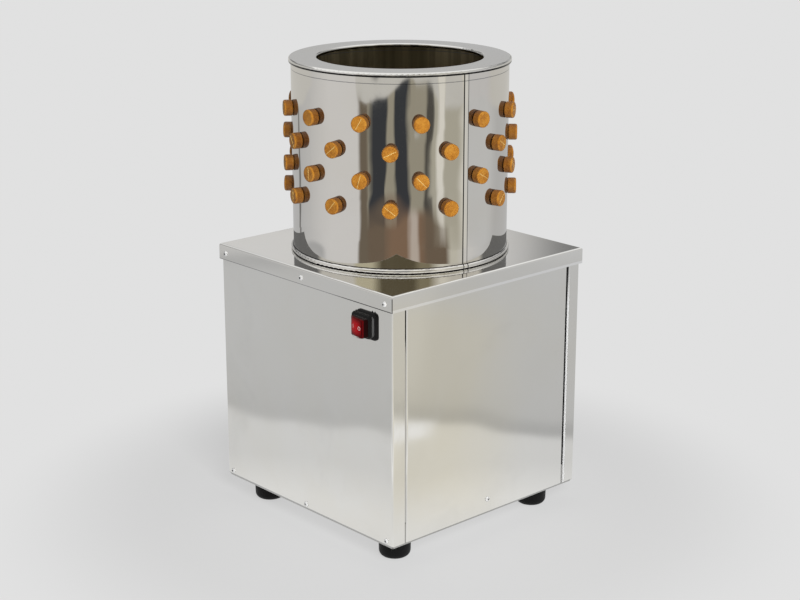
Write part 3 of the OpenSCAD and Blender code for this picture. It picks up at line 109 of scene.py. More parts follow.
def ramp(tree, value, stops):
    node = add(tree, "ShaderNodeValToRGB", {"Fac": value})
    elements = node.color_ramp.elements
    for stop in stops[2:]:
        elements.new(stop[0])
    for element, (place, colour) in zip(elements, sorted(stops)):
        element.position = place
        element.color = (*colour, 1) if len(colour) == 3 else colour
    return node.outputs["Color"]


print("node helpers", [helper.__name__ for helper in (add, noise, ramp)])

# %% [markdown]
# Masks are sums on values: maths() is one sum, span() is a soft step between two limits, and all_of() is
# where several soft limits hold at once. blend_colours() lays one colour over another by such a mask, and
# grey() is an even colour. A painted mask would need a picture file, and these need only numbers.

# %% Helpers for masks and colours
def maths(tree, kind, a, b=None, c=None):
    node = add(tree, "ShaderNodeMath", operation=kind)
    for socket, value in zip(node.inputs, (a, b, c)):
        if isinstance(value, bpy.types.NodeSocket):
            tree.links.new(value, socket)
        elif value is not None:
            socket.default_value = value
    return node.outputs["Value"]


def span(tree, value, low, high, low_out=0.0, high_out=1.0):
    node = add(tree, "ShaderNodeMapRange", {"Value": value, "From Min": low, "From Max": high,
                                            "To Min": low_out, "To Max": high_out},
               interpolation_type="SMOOTHSTEP")
    return node.outputs["Result"]


def all_of(tree, *zones):
    share = 1.0
    for value, start, full in zones:
        share = maths(tree, "MULTIPLY", span(tree, value, start, full), share)
    return share


def blend_colours(tree, factor, a, b, mode="MIX"):
    node = add(tree, "ShaderNodeMix", data_type="RGBA", blend_type=mode)
    for index, value in ((0, factor), (6, a), (7, b)):
        socket = node.inputs[index]
        if isinstance(value, bpy.types.NodeSocket):
            tree.links.new(value, socket)
        else:
            socket.default_value = value if index == 0 else (*value, 1)
    return node.outputs[2]


def grey(value):
    return (value, value, value)


print("mask helpers", [helper.__name__ for helper in (maths, span, all_of, blend_colours, grey)])

# %% [markdown]
# Polished steel shows its surroundings more than itself, so the studio matters as much as the metal.
# The world is plain and pale for the eye and for soft light. For reflections it also holds what stands
# beside any camera: a pale wall, dark cards, posts and strips of wood. A picture of a room could be wrapped
# round the scene instead. Here each thing is a band of one tone between two directions, so it needs no file
# and stays where it is when the view moves.

# %% Studio: its tones, and the bands of them round the machine
BACKGROUND = 0.752
SOFT_LIGHT = 0.07
ROOM, SIDE_WALL, PALE_WALL, HALL = grey(0.50), (0.59, 0.595, 0.60), (0.68, 0.67, 0.66), (0.64, 0.62, 0.58)
POST, DARK_SIDE, BLACK_CARD = (0.085, 0.08, 0.07), grey(0.16), (0.045, 0.048, 0.054)
DARK_STAND, DARK_WOOD, BROWN = (0.165, 0.135, 0.10), (0.165, 0.125, 0.09), (0.23, 0.15, 0.10)
WOOD, OLIVE, PALE_WOOD = (0.34, 0.315, 0.25), (0.45, 0.43, 0.36), (0.58, 0.56, 0.49)
STRIP, MAT, WARM_WALL = (0.77, 0.75, 0.69), (0.51, 0.445, 0.395), (0.57, 0.53, 0.395)
SHADE, DEEP_SHADE = (0.265, 0.235, 0.16), (0.12, 0.102, 0.065)
CARDS = [
    (-180, -138, ROOM), (-135, -135, POST), (-132, -132, ROOM), (-80, -46, PALE_WALL),
    (-43, -36, DARK_STAND), (-33, -33, WOOD), (-30, -15, BLACK_CARD), (-13, -5, WOOD), (-3, 9, BLACK_CARD),
    (11, 25, WOOD), (28, 32, POST), (34, 37, OLIVE), (39, 45, STRIP), (48, 64, OLIVE), (70, 70, STRIP),
    (78, 104, SIDE_WALL), (124, 180, ROOM)]
FLOOR_EDGE = [
    (-180, -138, ROOM), (-135, -135, POST), (-132, -132, ROOM), (-80, -46, PALE_WALL),
    (-43, -36, DARK_STAND), (-30, -18, DARK_WOOD), (-8, 7, BROWN), (12, 19, MAT), (22, 22, BROWN),
    (30, 48, DARK_WOOD), (54, 62, PALE_WOOD), (74, 74, PALE_WALL), (96, 96, SIDE_WALL), (124, 180, ROOM)]
BEHIND = [
    (-180, -173, PALE_WALL), (-168, -100, DARK_SIDE), (-92, -52, HALL), (-46, -30, WARM_WALL),
    (-19, 14, DEEP_SHADE), (22, 31, SHADE), (42, 46, STRIP), (55, 92, HALL), (100, 174, DARK_SIDE),
    (176.6, 180, PALE_WALL)]


def stops_of(bands):
    return [((degrees + 180) / 360, tone) for start, end, tone in bands for degrees in sorted({start, end})]


print("bands", len(CARDS), "of cards,", len(FLOOR_EDGE), "low down,", len(BEHIND), "behind")

# %% [markdown]
# To place a band, the world needs the direction of each ray. It is turned so that zero degrees is the
# camera's side. A rolled sheet never mirrors an edge quite straight, so a noise that changes mostly with
# height sways the directions a little first. The bands behind, which the flat cover mirrors, aren't swayed
# sideways.

# %% World: directions
SWAY_STRETCH, SWAY_REACH = (3.0, 3.0, 26.0), (0.15, 0.15, 0.009)


def angle_round(vector):
    sides = add(tree, "ShaderNodeSeparateXYZ", {"Vector": vector}).outputs
    angle = maths(tree, "ARCTAN2", sides["Y"], sides["X"])
    return angle, maths(tree, "MULTIPLY_ADD", angle, 0.5 / math.pi, 0.5), sides["Z"]


world = bpy.data.worlds.new("studio")
world.use_nodes = True
bpy.context.scene.world = world
tree = world.node_tree
tree.nodes.clear()
direction = add(tree, "ShaderNodeTexCoord").outputs["Generated"]
turned_round = add(tree, "ShaderNodeVectorRotate", {"Vector": direction, "Angle": -CAMERA_AZIMUTH},
                   rotation_type="Z_AXIS").outputs["Vector"]
tall = add(tree, "ShaderNodeVectorMath", {0: turned_round, 1: SWAY_STRETCH}, operation="MULTIPLY")
sway = add(tree, "ShaderNodeTexNoise", {"Vector": tall.outputs["Vector"], "Scale": 1.0, "Detail": 1.0})
sway = add(tree, "ShaderNodeVectorMath", {0: sway.outputs["Color"], 1: grey(0.5)}, operation="SUBTRACT")
swayed = add(tree, "ShaderNodeVectorMath",
             {0: sway.outputs["Vector"], 1: SWAY_REACH, 2: turned_round},
             operation="MULTIPLY_ADD").outputs["Vector"]
round_angle, round_place, upwards = angle_round(swayed)
height_angle = maths(tree, "ARCSINE", upwards)
still_place = angle_round(turned_round)[1]
print("world", world.name, "has", len(tree.nodes), "nodes for directions")

# %% [markdown]
# How high each thing reaches is an angle as well. Seen from the machine, the floor's far edge lies lowest,
# the cards stand on it with their tops in a shallow arch, and a bright ceiling hangs over all. Cards of mesh
# could stand there too, but they would show in other views.

# %% World: heights, and the light it gives
LOW_EDGE, CARD_TOP, ROOM_TOP = (-13.5, -15.0), (-9.5, -9.2), (4, 1)
BEHIND_FROM, BEHIND_TO, CEILING = (11, 12.5), (22, 19), (26, 48)
ARCH_MIDDLE, ARCH_HALF, ARCH_DROP, ARCH_MOST = math.radians(-10), math.radians(24.5), math.radians(0.65), 1.3
ROOM_GLOW = (0.60, 0.59, 0.56)


def reach(angle, limits):
    return (angle, *[math.radians(limit) for limit in limits])


from_middle = maths(tree, "DIVIDE", maths(tree, "SUBTRACT", round_angle, ARCH_MIDDLE), ARCH_HALF)
bend = maths(tree, "MINIMUM", maths(tree, "POWER", maths(tree, "ABSOLUTE", from_middle), 4.0), ARCH_MOST)
arched = maths(tree, "MULTIPLY_ADD", bend, ARCH_DROP, height_angle)
low = all_of(tree, reach(height_angle, LOW_EDGE))
over_cards = all_of(tree, reach(arched, CARD_TOP), reach(height_angle, ROOM_TOP))
behind_height = all_of(tree, reach(height_angle, BEHIND_FROM), reach(height_angle, BEHIND_TO))
ceiling = all_of(tree, reach(height_angle, CEILING))
cards = ramp(tree, round_place, stops_of(CARDS))
studio = blend_colours(tree, low, cards, ramp(tree, round_place, stops_of(FLOOR_EDGE)))
studio = blend_colours(tree, over_cards, studio, ROOM_GLOW, "LIGHTEN")
studio = blend_colours(tree, behind_height, studio, ramp(tree, still_place, stops_of(BEHIND)))
studio = blend_colours(tree, ceiling, studio, grey(1.0))
mirror_light = add(tree, "ShaderNodeBackground", {"Color": studio, "Strength": 1.0})
plain_light = add(tree, "ShaderNodeBackground", {"Color": (*grey(BACKGROUND), 1), "Strength": 1.0})
soft_light = add(tree, "ShaderNodeBackground", {"Color": (*grey(SOFT_LIGHT), 1), "Strength": 1.0})
rays = add(tree, "ShaderNodeLightPath")
shiny = maths(tree, "MAXIMUM", rays.outputs["Is Glossy Ray"], rays.outputs["Is Transmission Ray"])
seen = add(tree, "ShaderNodeMixShader", {0: rays.outputs["Is Camera Ray"], 1: soft_light.outputs[0],
                                         2: plain_light.outputs[0]})
mixed = add(tree, "ShaderNodeMixShader", {0: shiny, 1: seen.outputs[0], 2: mirror_light.outputs[0]})
add(tree, "ShaderNodeOutputWorld", {"Surface": mixed.outputs[0]})
print("world", world.name, "has", len(tree.nodes), "nodes")

# %% [markdown]
# The floor is one pale disc. A square plane would serve the eye as well, but the steel would mirror its
# corners. Each point is measured three ways: how far it is from the machine, how far it lies towards the
# camera, and how far to the side.

# %% Floor disc
FLOOR_RADIUS, FLOOR_DROP = 1.75, 0.0005


def deselect():
    if bpy.context.object and bpy.context.object.mode != "OBJECT":
        bpy.ops.object.mode_set(mode="OBJECT")
    bpy.ops.object.select_all(action="DESELECT")


deselect()
bpy.ops.mesh.primitive_circle_add(vertices=96, radius=FLOOR_RADIUS, fill_type="NGON",
                                  location=(0, 0, -FLOOR_DROP))
floor = bpy.context.object
floor.name = "floor"
paper = bpy.data.materials.new("floor_paper")
paper.use_nodes = True
tree = paper.node_tree
tree.nodes.clear()
place = add(tree, "ShaderNodeTexCoord").outputs["Object"]
away = add(tree, "ShaderNodeVectorMath", {0: place}, operation="LENGTH").outputs["Value"]
facing = add(tree, "ShaderNodeVectorRotate", {"Vector": place, "Angle": -CAMERA_AZIMUTH},
             rotation_type="Z_AXIS")
facing = add(tree, "ShaderNodeSeparateXYZ", {"Vector": facing.outputs["Vector"]})
nearer, sideways = facing.outputs["X"], facing.outputs["Y"]
print("floor radius", FLOOR_RADIUS)

# %% [markdown]
# In reflections the floor is a sheet of paper under the machine, with darker ground beyond its two edges.
# The left edge leans in towards the camera and the right one leans out, and noise sways both, because paper
# seldom lies flat. On the paper there are a warm side, a painted pool of light at the front and a painted
# streak of light, and the ground gets painted shade on its right edge and far out on the left.

# %% Paper and ground, as the steel mirrors them
PAPER_STOPS = [(0.28, grey(0.80)), (0.36, grey(0.73)), (0.42, grey(0.68)), (0.60, grey(0.69))]
GROUND_STOPS = [(0.47, grey(0.49)), (0.56, grey(0.52)), (0.72, grey(0.54)), (1.0, grey(0.55))]
PAPER_HALF, PAPER_SOFT, MIDDLE = 0.485, 0.018, 0.02
LEFT_SPREAD, RIGHT_SPREAD, LEFT_WIDER = -0.30, 0.36, 0.10
PAPER_SWAY_SCALE, PAPER_SWAY = 3.4, 0.15
uneven = maths(tree, "SUBTRACT", noise(tree, place, PAPER_SWAY_SCALE, 1.0), 0.5)
sway = maths(tree, "MULTIPLY_ADD", uneven, PAPER_SWAY, maths(tree, "ABSOLUTE", sideways))
spread = span(tree, sideways, -MIDDLE, MIDDLE, LEFT_SPREAD, RIGHT_SPREAD)
wider = span(tree, sideways, -MIDDLE, MIDDLE, LEFT_WIDER, 0.0)
aside = maths(tree, "SUBTRACT", sway, maths(tree, "MULTIPLY", nearer, spread))
aside = maths(tree, "SUBTRACT", aside, wider)
# Painted shade on the ground's right edge.
right_edge_painted_shade = all_of(tree, (sideways, 0.30, 0.40), (aside, 0.60, 0.52))
ground_tone = blend_colours(tree, right_edge_painted_shade, ramp(tree, aside, GROUND_STOPS), grey(0.87), "MULTIPLY")
on_paper = span(tree, aside, PAPER_HALF + PAPER_SOFT, PAPER_HALF - PAPER_SOFT)
mirrored = blend_colours(tree, on_paper, ground_tone, ramp(tree, away, PAPER_STOPS))
# Painted shade far out on the left, a painted pool of light at the front and a painted streak of light.
warm_side = [(sideways, 0.05, 0.35), (nearer, 0.06, 0.20), (away, 1.45, 1.10)]
far_left_painted_shade = [(away, 1.46, 1.58), (sideways, -0.5, -0.9)]
painted_light_in_front = [(nearer, 0.275, 0.300)]
light_streak = [(away, 0.555, 0.580), (away, 0.655, 0.630), (nearer, 0.240, 0.262)]
for zones, tone, mode in ((warm_side, (1.05, 1.01, 0.90), "MULTIPLY"), (far_left_painted_shade, grey(0.80), "MULTIPLY"),
                          (painted_light_in_front, grey(1.10), "MULTIPLY"), (light_streak, grey(0.92), "MIX")):
    mirrored = blend_colours(tree, all_of(tree, *zones), mirrored, tone, mode)
print("paper stops", len(PAPER_STOPS), "ground stops", len(GROUND_STOPS))

# %% [markdown]
# At its rim the disc would end in a scalloped line in the drum's foot. So the far rim takes the low tones of
# the studio, and floor and world run together. It starts further out at the sides and at the back.

# %% Floor's far rim
RIM_START, RIM_SOFT, SIDE_RIM_START, SIDE_RIM_SOFT, RIM_TURN = 1.49, 0.02, 1.60, 0.05, 1.047
LEFT_END, RIGHT_END = (-90, -80), (80, 72)
around = maths(tree, "ARCTAN2", sideways, nearer)
rim = all_of(tree, (away, RIM_START, RIM_START + RIM_SOFT), reach(around, LEFT_END),
             reach(around, RIGHT_END))
rim = maths(tree, "MAXIMUM", rim, span(tree, away, SIDE_RIM_START, SIDE_RIM_START + SIDE_RIM_SOFT))
rim_place = maths(tree, "MULTIPLY_ADD", around, RIM_TURN * 0.5 / math.pi, 0.5)
mirrored = blend_colours(tree, rim, mirrored, ramp(tree, rim_place, stops_of(FLOOR_EDGE)))
print("rim from", RIM_START, "to", FLOOR_RADIUS)

# %% [markdown]
# The eye sees the floor in the same pale grey as the world, so no horizon shows. A shadow could be lost that
# way, so close to the machine a little of the paper's true shading is mixed in. It carries the soft shadow.

# %% Floor for the eye, with the object's shadow
PAPER_WHITE = 0.82
SHADOW_NEAR, SHADOW_FAR, SHADOW_SHARE = 0.34, 0.62, 0.72
rays = add(tree, "ShaderNodeLightPath")
shiny = maths(tree, "MAXIMUM", rays.outputs["Is Glossy Ray"], rays.outputs["Is Transmission Ray"])
shown = maths(tree, "MAXIMUM", rays.outputs["Is Camera Ray"], shiny)
pale = blend_colours(tree, shiny, grey(BACKGROUND), mirrored)
glow = add(tree, "ShaderNodeEmission", {"Color": pale, "Strength": 1.0})
matte = add(tree, "ShaderNodeBsdfDiffuse", {"Color": (*grey(PAPER_WHITE), 1)})
shadow_keep = span(tree, away, SHADOW_NEAR, SHADOW_FAR, SHADOW_SHARE, 1.0)
share = maths(tree, "MULTIPLY", shown, maths(tree, "MAXIMUM", shadow_keep, shiny))
surface = add(tree, "ShaderNodeMixShader", {0: share, 1: matte.outputs[0], 2: glow.outputs[0]})
add(tree, "ShaderNodeOutputMaterial", {"Surface": surface.outputs[0]})
floor.data.materials.append(paper)
print("floor", floor.name, "with", len(tree.nodes), "nodes")

# %% [markdown]
# One broad lamp beside the camera is the key. It stands low enough to light the faces of the fingers,
# and it leaves those that face aside in half shade. A weak fill keeps that shade from going black,
# and a strip overhead lights the tops. The steel doesn't mirror the lamps: the studio does that work.

# %% Lamps
AIM_HEIGHT = 0.45


def lamp(name, place, size, watts):
    data = bpy.data.lights.new(name, "AREA")
    data.shape = "RECTANGLE"
    data.size, data.size_y = size
    data.energy = watts
    item = bpy.data.objects.new(name, data)
    bpy.context.scene.collection.objects.link(item)
    item.location = place
    aim = Vector(place) - Vector((0, 0, AIM_HEIGHT))
    item.rotation_euler = aim.to_track_quat("Z", "Y").to_euler()
    item.visible_glossy = False


lamp("key_lamp", (2.14, -1.24, 1.50), (0.9, 0.9), 56)
lamp("fill_lamp", (0.2, -2.4, 1.6), (1.2, 1.2), 2)
lamp("top_lamp", (0.3, 0.3, 2.4), (1.6, 0.4), 2)

# %% [markdown]
# Some marks turn up on many finishes, so each is a node group with named inputs. The first draws fine
# streaks, as a polishing wheel or a rolling mill leaves. The second draws soft patches, as hands, water
# and dust leave. The third is the slow wave that any thin sheet keeps after it has been bent.

# %% Shared marks as node groups
def new_group(name, inputs, outputs):
    group = bpy.data.node_groups.new(name, "ShaderNodeTree")
    for label, kind, value in inputs:
        socket = group.interface.new_socket(label, in_out="INPUT", socket_type=kind)
        if value is not None:
            socket.default_value = value
    for label, kind in outputs:
        group.interface.new_socket(label, in_out="OUTPUT", socket_type=kind)
    start = group.nodes.new("NodeGroupInput")
    end = group.nodes.new("NodeGroupOutput")
    return group, start.outputs, end.inputs


FLOAT, VECTOR = "NodeSocketFloat", "NodeSocketVector"

streaks, given, result = new_group(
    "polish_streaks", [("Vector", VECTOR, None), ("Stretch", VECTOR, (1, 1, 1)), ("Scale", FLOAT, 60.0)],
    [("Value", FLOAT)])
stretched = add(streaks, "ShaderNodeVectorMath", {0: given["Vector"], 1: given["Stretch"]},
                operation="MULTIPLY").outputs["Vector"]
streaks.links.new(noise(streaks, stretched, given["Scale"], 4.0, 0.6), result["Value"])

patches, given, result = new_group(
    "soft_patches",
    [("Vector", VECTOR, None), ("Scale", FLOAT, 6.0), ("Low", FLOAT, 0.45), ("High", FLOAT, 0.7)],
    [("Mask", FLOAT)])
cloudy = noise(patches, given["Vector"], given["Scale"], 5.0, 0.6, 0.4)
patches.links.new(span(patches, cloudy, given["Low"], given["High"]), result["Mask"])

waves, given, result = new_group(
    "sheet_waves", [("Vector", VECTOR, None), ("Stretch", VECTOR, (1, 1, 1)), ("Scale", FLOAT, 5.0)],
    [("Height", FLOAT)])
stretched = add(waves, "ShaderNodeVectorMath", {0: given["Vector"], 1: given["Stretch"]},
                operation="MULTIPLY").outputs["Vector"]
waves.links.new(noise(waves, stretched, given["Scale"], 1.0, 0.4), result["Height"])
print("groups", [g.name for g in bpy.data.node_groups])

# %% [markdown]
# Every finish starts the same way: a new material, its Principled shader and the object's own
# coordinates in metres. Values that are the same all over are set on the shader itself, and only what
# changes over the surface comes through nodes.

# %% A blank finish
def blank(name, metallic=0.0, roughness=0.5, **plain):
    material = bpy.data.materials.new(name)
    material.use_nodes = True
    tree = material.node_tree
    shader = tree.nodes["Principled BSDF"]
    shader.inputs["Metallic"].default_value = metallic
    shader.inputs["Roughness"].default_value = roughness
    for label, value in plain.items():
        shader.inputs[label.replace("_", " ")].default_value = value
    place = add(tree, "ShaderNodeTexCoord").outputs["Object"]
    return material, tree, shader, place


def use_group(tree, group, **inputs):
    node = add(tree, "ShaderNodeGroup", node_tree=group)
    for label, value in inputs.items():
        if isinstance(value, bpy.types.NodeSocket):
            tree.links.new(value, node.inputs[label])
        else:
            node.inputs[label].default_value = value
    return node.outputs[0]


def bump(tree, shader, height, distance, strength=1.0, after=None):
    node = add(tree, "ShaderNodeBump", {"Height": height, "Distance": distance, "Strength": strength})
    if after is not None:
        tree.links.new(after, node.inputs["Normal"])
    tree.links.new(node.outputs["Normal"], shader.inputs["Normal"])
    return node.outputs["Normal"]


print("finish helpers", [helper.__name__ for helper in (blank, use_group, bump)])

# %% [markdown]
# The sheets are stainless steel. They differ in how far they were polished: the drum is nearly a mirror, the
# cover a little softer, and the panels blur what they show. Pictures of steel could be mapped on, but they
# bring their own reflections along. So one function makes every sheet, from polish, hand marks and a wave.

# %% Stainless sheets
STREAK_SCALE, STREAK_DEPTH = 160.0, 0.000004
WARMER, HAND_SHARE, HAND_TONE = (0.97, 0.955, 0.915), 0.10, grey(0.42)
EVEN, UPRIGHT, ALONG_X = (1, 1, 1), (1, 1, 0.02), (0.05, 1, 1)


def steel_sheet(name, tint, polish, smear, wave, wave_scale, wave_stretch, streak_stretch):
    material, tree, shader, place = blank(name, metallic=1.0)
    marks = use_group(tree, streaks, Vector=place, Stretch=streak_stretch, Scale=STREAK_SCALE)
    hands = use_group(tree, patches, Vector=place, Scale=9.0, Low=0.52, High=0.80)
    haze = use_group(tree, patches, Vector=place, Scale=3.0, Low=0.30, High=0.75)
    warm = tuple(channel * share for channel, share in zip(tint, WARMER))
    tone = blend_colours(tree, haze, tint, warm)
    tone = blend_colours(tree, maths(tree, "MULTIPLY", hands, HAND_SHARE), tone, HAND_TONE)
    tree.links.new(tone, shader.inputs["Base Color"])
    rough = maths(tree, "MULTIPLY_ADD", marks, smear, polish)
    rough = maths(tree, "MULTIPLY_ADD", hands, smear, rough)
    tree.links.new(rough, shader.inputs["Roughness"])
    ripple = use_group(tree, waves, Vector=place, Stretch=wave_stretch, Scale=wave_scale)
    slow = bump(tree, shader, ripple, wave)
    bump(tree, shader, marks, STREAK_DEPTH, 1.0, slow)
    return material


drum_steel = steel_sheet("drum_steel", (0.80, 0.785, 0.76), polish=0.012, smear=0.025, wave=0.0024,
                         wave_scale=12.0, wave_stretch=(1, 1, 0.55), streak_stretch=UPRIGHT)
ring_steel = steel_sheet("ring_steel", (0.80, 0.795, 0.78), polish=0.08, smear=0.06, wave=0.0002,
                         wave_scale=6.0, wave_stretch=EVEN, streak_stretch=(0.4, 0.4, 1))
cover_steel = steel_sheet("cover_steel", (0.84, 0.835, 0.815), polish=0.06, smear=0.05, wave=0.0006,
                          wave_scale=5.0, wave_stretch=EVEN, streak_stretch=(0.03, 1, 1))
panel_steel = steel_sheet("panel_steel", (0.86, 0.857, 0.838), polish=0.07, smear=0.05, wave=0.0040,
                          wave_scale=5.0, wave_stretch=(1, 1, 0.9), streak_stretch=UPRIGHT)
inner_steel = steel_sheet("inner_steel", (0.60, 0.595, 0.58), polish=0.22, smear=0.14, wave=0.0004,
                          wave_scale=6.0, wave_stretch=EVEN, streak_stretch=ALONG_X)
pan_steel = steel_sheet("pan_steel", (0.46, 0.46, 0.455), polish=0.30, smear=0.14, wave=0.0004,
                        wave_scale=6.0, wave_stretch=EVEN, streak_stretch=ALONG_X)
sheets = (drum_steel, ring_steel, cover_steel, panel_steel, inner_steel, pan_steel)
print("sheets", [sheet.name for sheet in sheets])

# %% [markdown]
# Inside the drum, feathers and water have taken the polish off and left brown runs. The inner face could be
# cut off and given a material of its own. Distance from the drum's axis tells the two faces apart without a
# cut, so one finish dulls the inside and leaves the outside bright.

# %% Use dulls the inside
DRUM_MIDDLE_OF_WALL, WALL_SOFT = 0.1492, 0.0004
RUN_SCALE, INSIDE_ROUGH = 26.0, 0.38
STAINS = [(0.38, (0.26, 0.235, 0.155)), (0.50, (0.42, 0.385, 0.27)), (0.64, (0.80, 0.74, 0.54))]


def axis_distance(tree, place):
    level = add(tree, "ShaderNodeVectorMath", {0: place, 1: (1, 1, 0)}, operation="MULTIPLY")
    level = level.outputs["Vector"]
    return add(tree, "ShaderNodeVectorMath", {0: level}, operation="LENGTH").outputs["Value"]


def inside_drum(tree, place):
    from_axis = axis_distance(tree, place)
    return span(tree, from_axis, DRUM_MIDDLE_OF_WALL + WALL_SOFT, DRUM_MIDDLE_OF_WALL - WALL_SOFT)


# Blends in a value inside the drum: dulling and stains on the steel, painted shade on the fingers.
def dull_or_shade_inside(material, socket, value):
    tree = material.node_tree
    shader = tree.nodes["Principled BSDF"]
    place = add(tree, "ShaderNodeTexCoord").outputs["Object"]
    before = shader.inputs[socket].links[0].from_socket
    after = blend_colours(tree, inside_drum(tree, place), before, value)
    tree.links.new(after, shader.inputs[socket])


tree = drum_steel.node_tree
place = add(tree, "ShaderNodeTexCoord").outputs["Object"]
runs = use_group(tree, streaks, Vector=place, Stretch=UPRIGHT, Scale=RUN_SCALE)
dull_or_shade_inside(drum_steel, "Base Color", ramp(tree, runs, STAINS))
dull_or_shade_inside(drum_steel, "Roughness", grey(INSIDE_ROUGH))
print("dulled inside", drum_steel.name)

# %% [markdown]
# Along the hems and folds run lines of a millimetre or so, at a known height on the ring, the cover, the
# drum
# and the panels. Most are painted shade: along the foot of the ring's lip and of the cover's lip, darkest on
# the cover's front near the corner, and the drum's contact shadow where it stands on the cover. A pale band
# along the foot of the cover's right lip is a painted highlight. The others are darker lines: up the cover's
# front corner, round the drum below its ring and 7 mm above the cover, and along the panels' foot. They
# could be thin strips of mesh. In the finish they follow the sheet by themselves, and a fine noise keeps
# them from looking ruled.

# %% Lines along hems and folds: painted shade, a painted highlight and plain dark lines
RING_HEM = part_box("drum_top_ring")[0][2]
COVER_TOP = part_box("top_cover")[1][2]
COVER_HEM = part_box("top_cover")[0][2]
PANEL_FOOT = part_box("front_panel")[0][2]
LINE_NOISE, LINE_SWAY, LINE_START, LINE_END = 260.0, 0.0008, 0.0002, 0.0006
FRONT_LIP, NEAR_CORNER, RIGHT_LIP = ("Y", -0.176, -0.180), ("X", 0.05, 0.11), ("X", 0.1812, 0.1824)
CORNER_BEND = [("X", 0.1819, 0.1824), ("Y", -0.1799, -0.1804)]
FRONT_FACE, RIGHT_FACE = ("Y", -0.176, -0.178), ("X", 0.178, 0.180)
BELOW_TOP = (COVER_TOP - COVER_HEM) / MM - 3.0


def hem_shade_or_highlight_line(material, low, high, shade, limits):
    tree = material.node_tree
    shader = tree.nodes["Principled BSDF"]
    place = add(tree, "ShaderNodeTexCoord").outputs["Object"]
    axes = add(tree, "ShaderNodeSeparateXYZ", {"Vector": place}).outputs
    uneven = maths(tree, "MULTIPLY_ADD", noise(tree, place, LINE_NOISE, 2.0), LINE_SWAY, axes["Z"])
    line = all_of(tree, (uneven, low, low + LINE_START), (uneven, high + LINE_END, high),
                  *[(axes[axis], start, full) for axis, start, full in limits])
    before = shader.inputs["Base Color"].links[0].from_socket
    tree.links.new(blend_colours(tree, line, before, shade), shader.inputs["Base Color"])


# Painted shade: the lowest edge of the ring's lip and of the cover's lip, the cover's front near the corner,
# and the drum's foot. The cover's right lip gets a painted highlight.
HEM_SHADE_AND_HIGHLIGHT_LINES = [
    (ring_steel, RING_HEM, 0.0, 2.4, 0.025, []),
    (cover_steel, COVER_HEM, 0.0, 1.0, 0.42, []),
    (cover_steel, COVER_HEM, 0.0, 1.2, 0.08, [FRONT_LIP, NEAR_CORNER]),
    (cover_steel, COVER_HEM, 0.2, 3.8, 1.0, [RIGHT_LIP]),
    (cover_steel, COVER_HEM, 0.0, BELOW_TOP, 0.10, CORNER_BEND),
    (drum_steel, RING_HEM, -9.0, -8.2, 0.34, []),
    (drum_steel, COVER_TOP, 0.0, 1.2, 0.04, []),
    (drum_steel, COVER_TOP, 6.6, 7.4, 0.06, []),
    (panel_steel, PANEL_FOOT, -1.0, 1.2, 0.50, [FRONT_FACE]),
    (panel_steel, PANEL_FOOT, -1.0, 0.4, 0.50, [RIGHT_FACE])]
for material, level, start, end, tone, limits in HEM_SHADE_AND_HIGHLIGHT_LINES:
    hem_shade_or_highlight_line(material, level + start * MM, level + end * MM, grey(tone), limits)
print("lines", len(HEM_SHADE_AND_HIGHLIGHT_LINES), "hems at", round(RING_HEM, 4), round(COVER_HEM, 4))

# %% [markdown]
# The free edge of the rear sheet, on both sides, carries a painted highlight: a white strip beside the dark
# of an open joint, where the finish also loses its metal shine. A separate strip would need its own
# thickness, so the sheet's finish changes there instead.

# %% Painted highlight along the rear sheet's free edges
REAR_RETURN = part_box("rear_panel")[0][1]
PAINTED_HIGHLIGHT_WIDTH, PAINTED_HIGHLIGHT_TOP, PAINTED_HIGHLIGHT_FULL = 0.0024, 0.372, 0.30
tree = panel_steel.node_tree
shader = tree.nodes["Principled BSDF"]
place = add(tree, "ShaderNodeTexCoord").outputs["Object"]
axes = add(tree, "ShaderNodeSeparateXYZ", {"Vector": place}).outputs
# A white, non-metallic strip along the edge: a painted highlight.
painted_edge_highlight = all_of(tree, (axes["Y"], REAR_RETURN - 0.0015, REAR_RETURN - 0.0010),
                (axes["Y"], REAR_RETURN + PAINTED_HIGHLIGHT_WIDTH + 0.0004, REAR_RETURN + PAINTED_HIGHLIGHT_WIDTH),
                (axes["Z"], PAINTED_HIGHLIGHT_TOP, PAINTED_HIGHLIGHT_FULL))
before = shader.inputs["Base Color"].links[0].from_socket
tree.links.new(blend_colours(tree, painted_edge_highlight, before, grey(1.0)), shader.inputs["Base Color"])
tree.links.new(maths(tree, "SUBTRACT", 1.0, painted_edge_highlight), shader.inputs["Metallic"])
print("ground edge from", round(REAR_RETURN, 4))

# %% [markdown]
# The drum is one sheet rolled round until its ends lap, and spot welds hold the lap. From outside it is
# a narrow upright band with a dark line on each side, where the polishing wheel couldn't reach. The solid
# has the lap itself, so the finish only adds the two lines, by their angle round the drum.

# %% Lines along the drum's lap seam
SEAM_AZIMUTH = math.radians(-7)
SEAM_HALF = math.radians(1.34)
SEAM_LINE = math.radians(0.22)
SEAM_TONE = grey(0.05)
tree = drum_steel.node_tree
shader = tree.nodes["Principled BSDF"]
place = add(tree, "ShaderNodeTexCoord").outputs["Object"]
sides = add(tree, "ShaderNodeSeparateXYZ", {"Vector": place})
azimuth = maths(tree, "ARCTAN2", sides.outputs["Y"], sides.outputs["X"])
from_seam = maths(tree, "ABSOLUTE", maths(tree, "SUBTRACT", azimuth, SEAM_AZIMUTH))
from_line = maths(tree, "ABSOLUTE", maths(tree, "SUBTRACT", from_seam, SEAM_HALF))
line = span(tree, from_line, SEAM_LINE * 1.5, SEAM_LINE)
before = shader.inputs["Base Color"].links[0].from_socket
tree.links.new(blend_colours(tree, line, before, SEAM_TONE), shader.inputs["Base Color"])
print("seam lines", round(math.degrees(2 * SEAM_HALF), 2), "degrees apart")

# %% [markdown]
# Each finger is pulled through a punched hole until its collar snaps in, and that dishes the thin sheet a
# little round the hole. Nobody sees the dish itself, only how the reflections pinch round each head. The
# rows of fingers are regular, so a folded angle and a folded height give the distance to the nearest one.

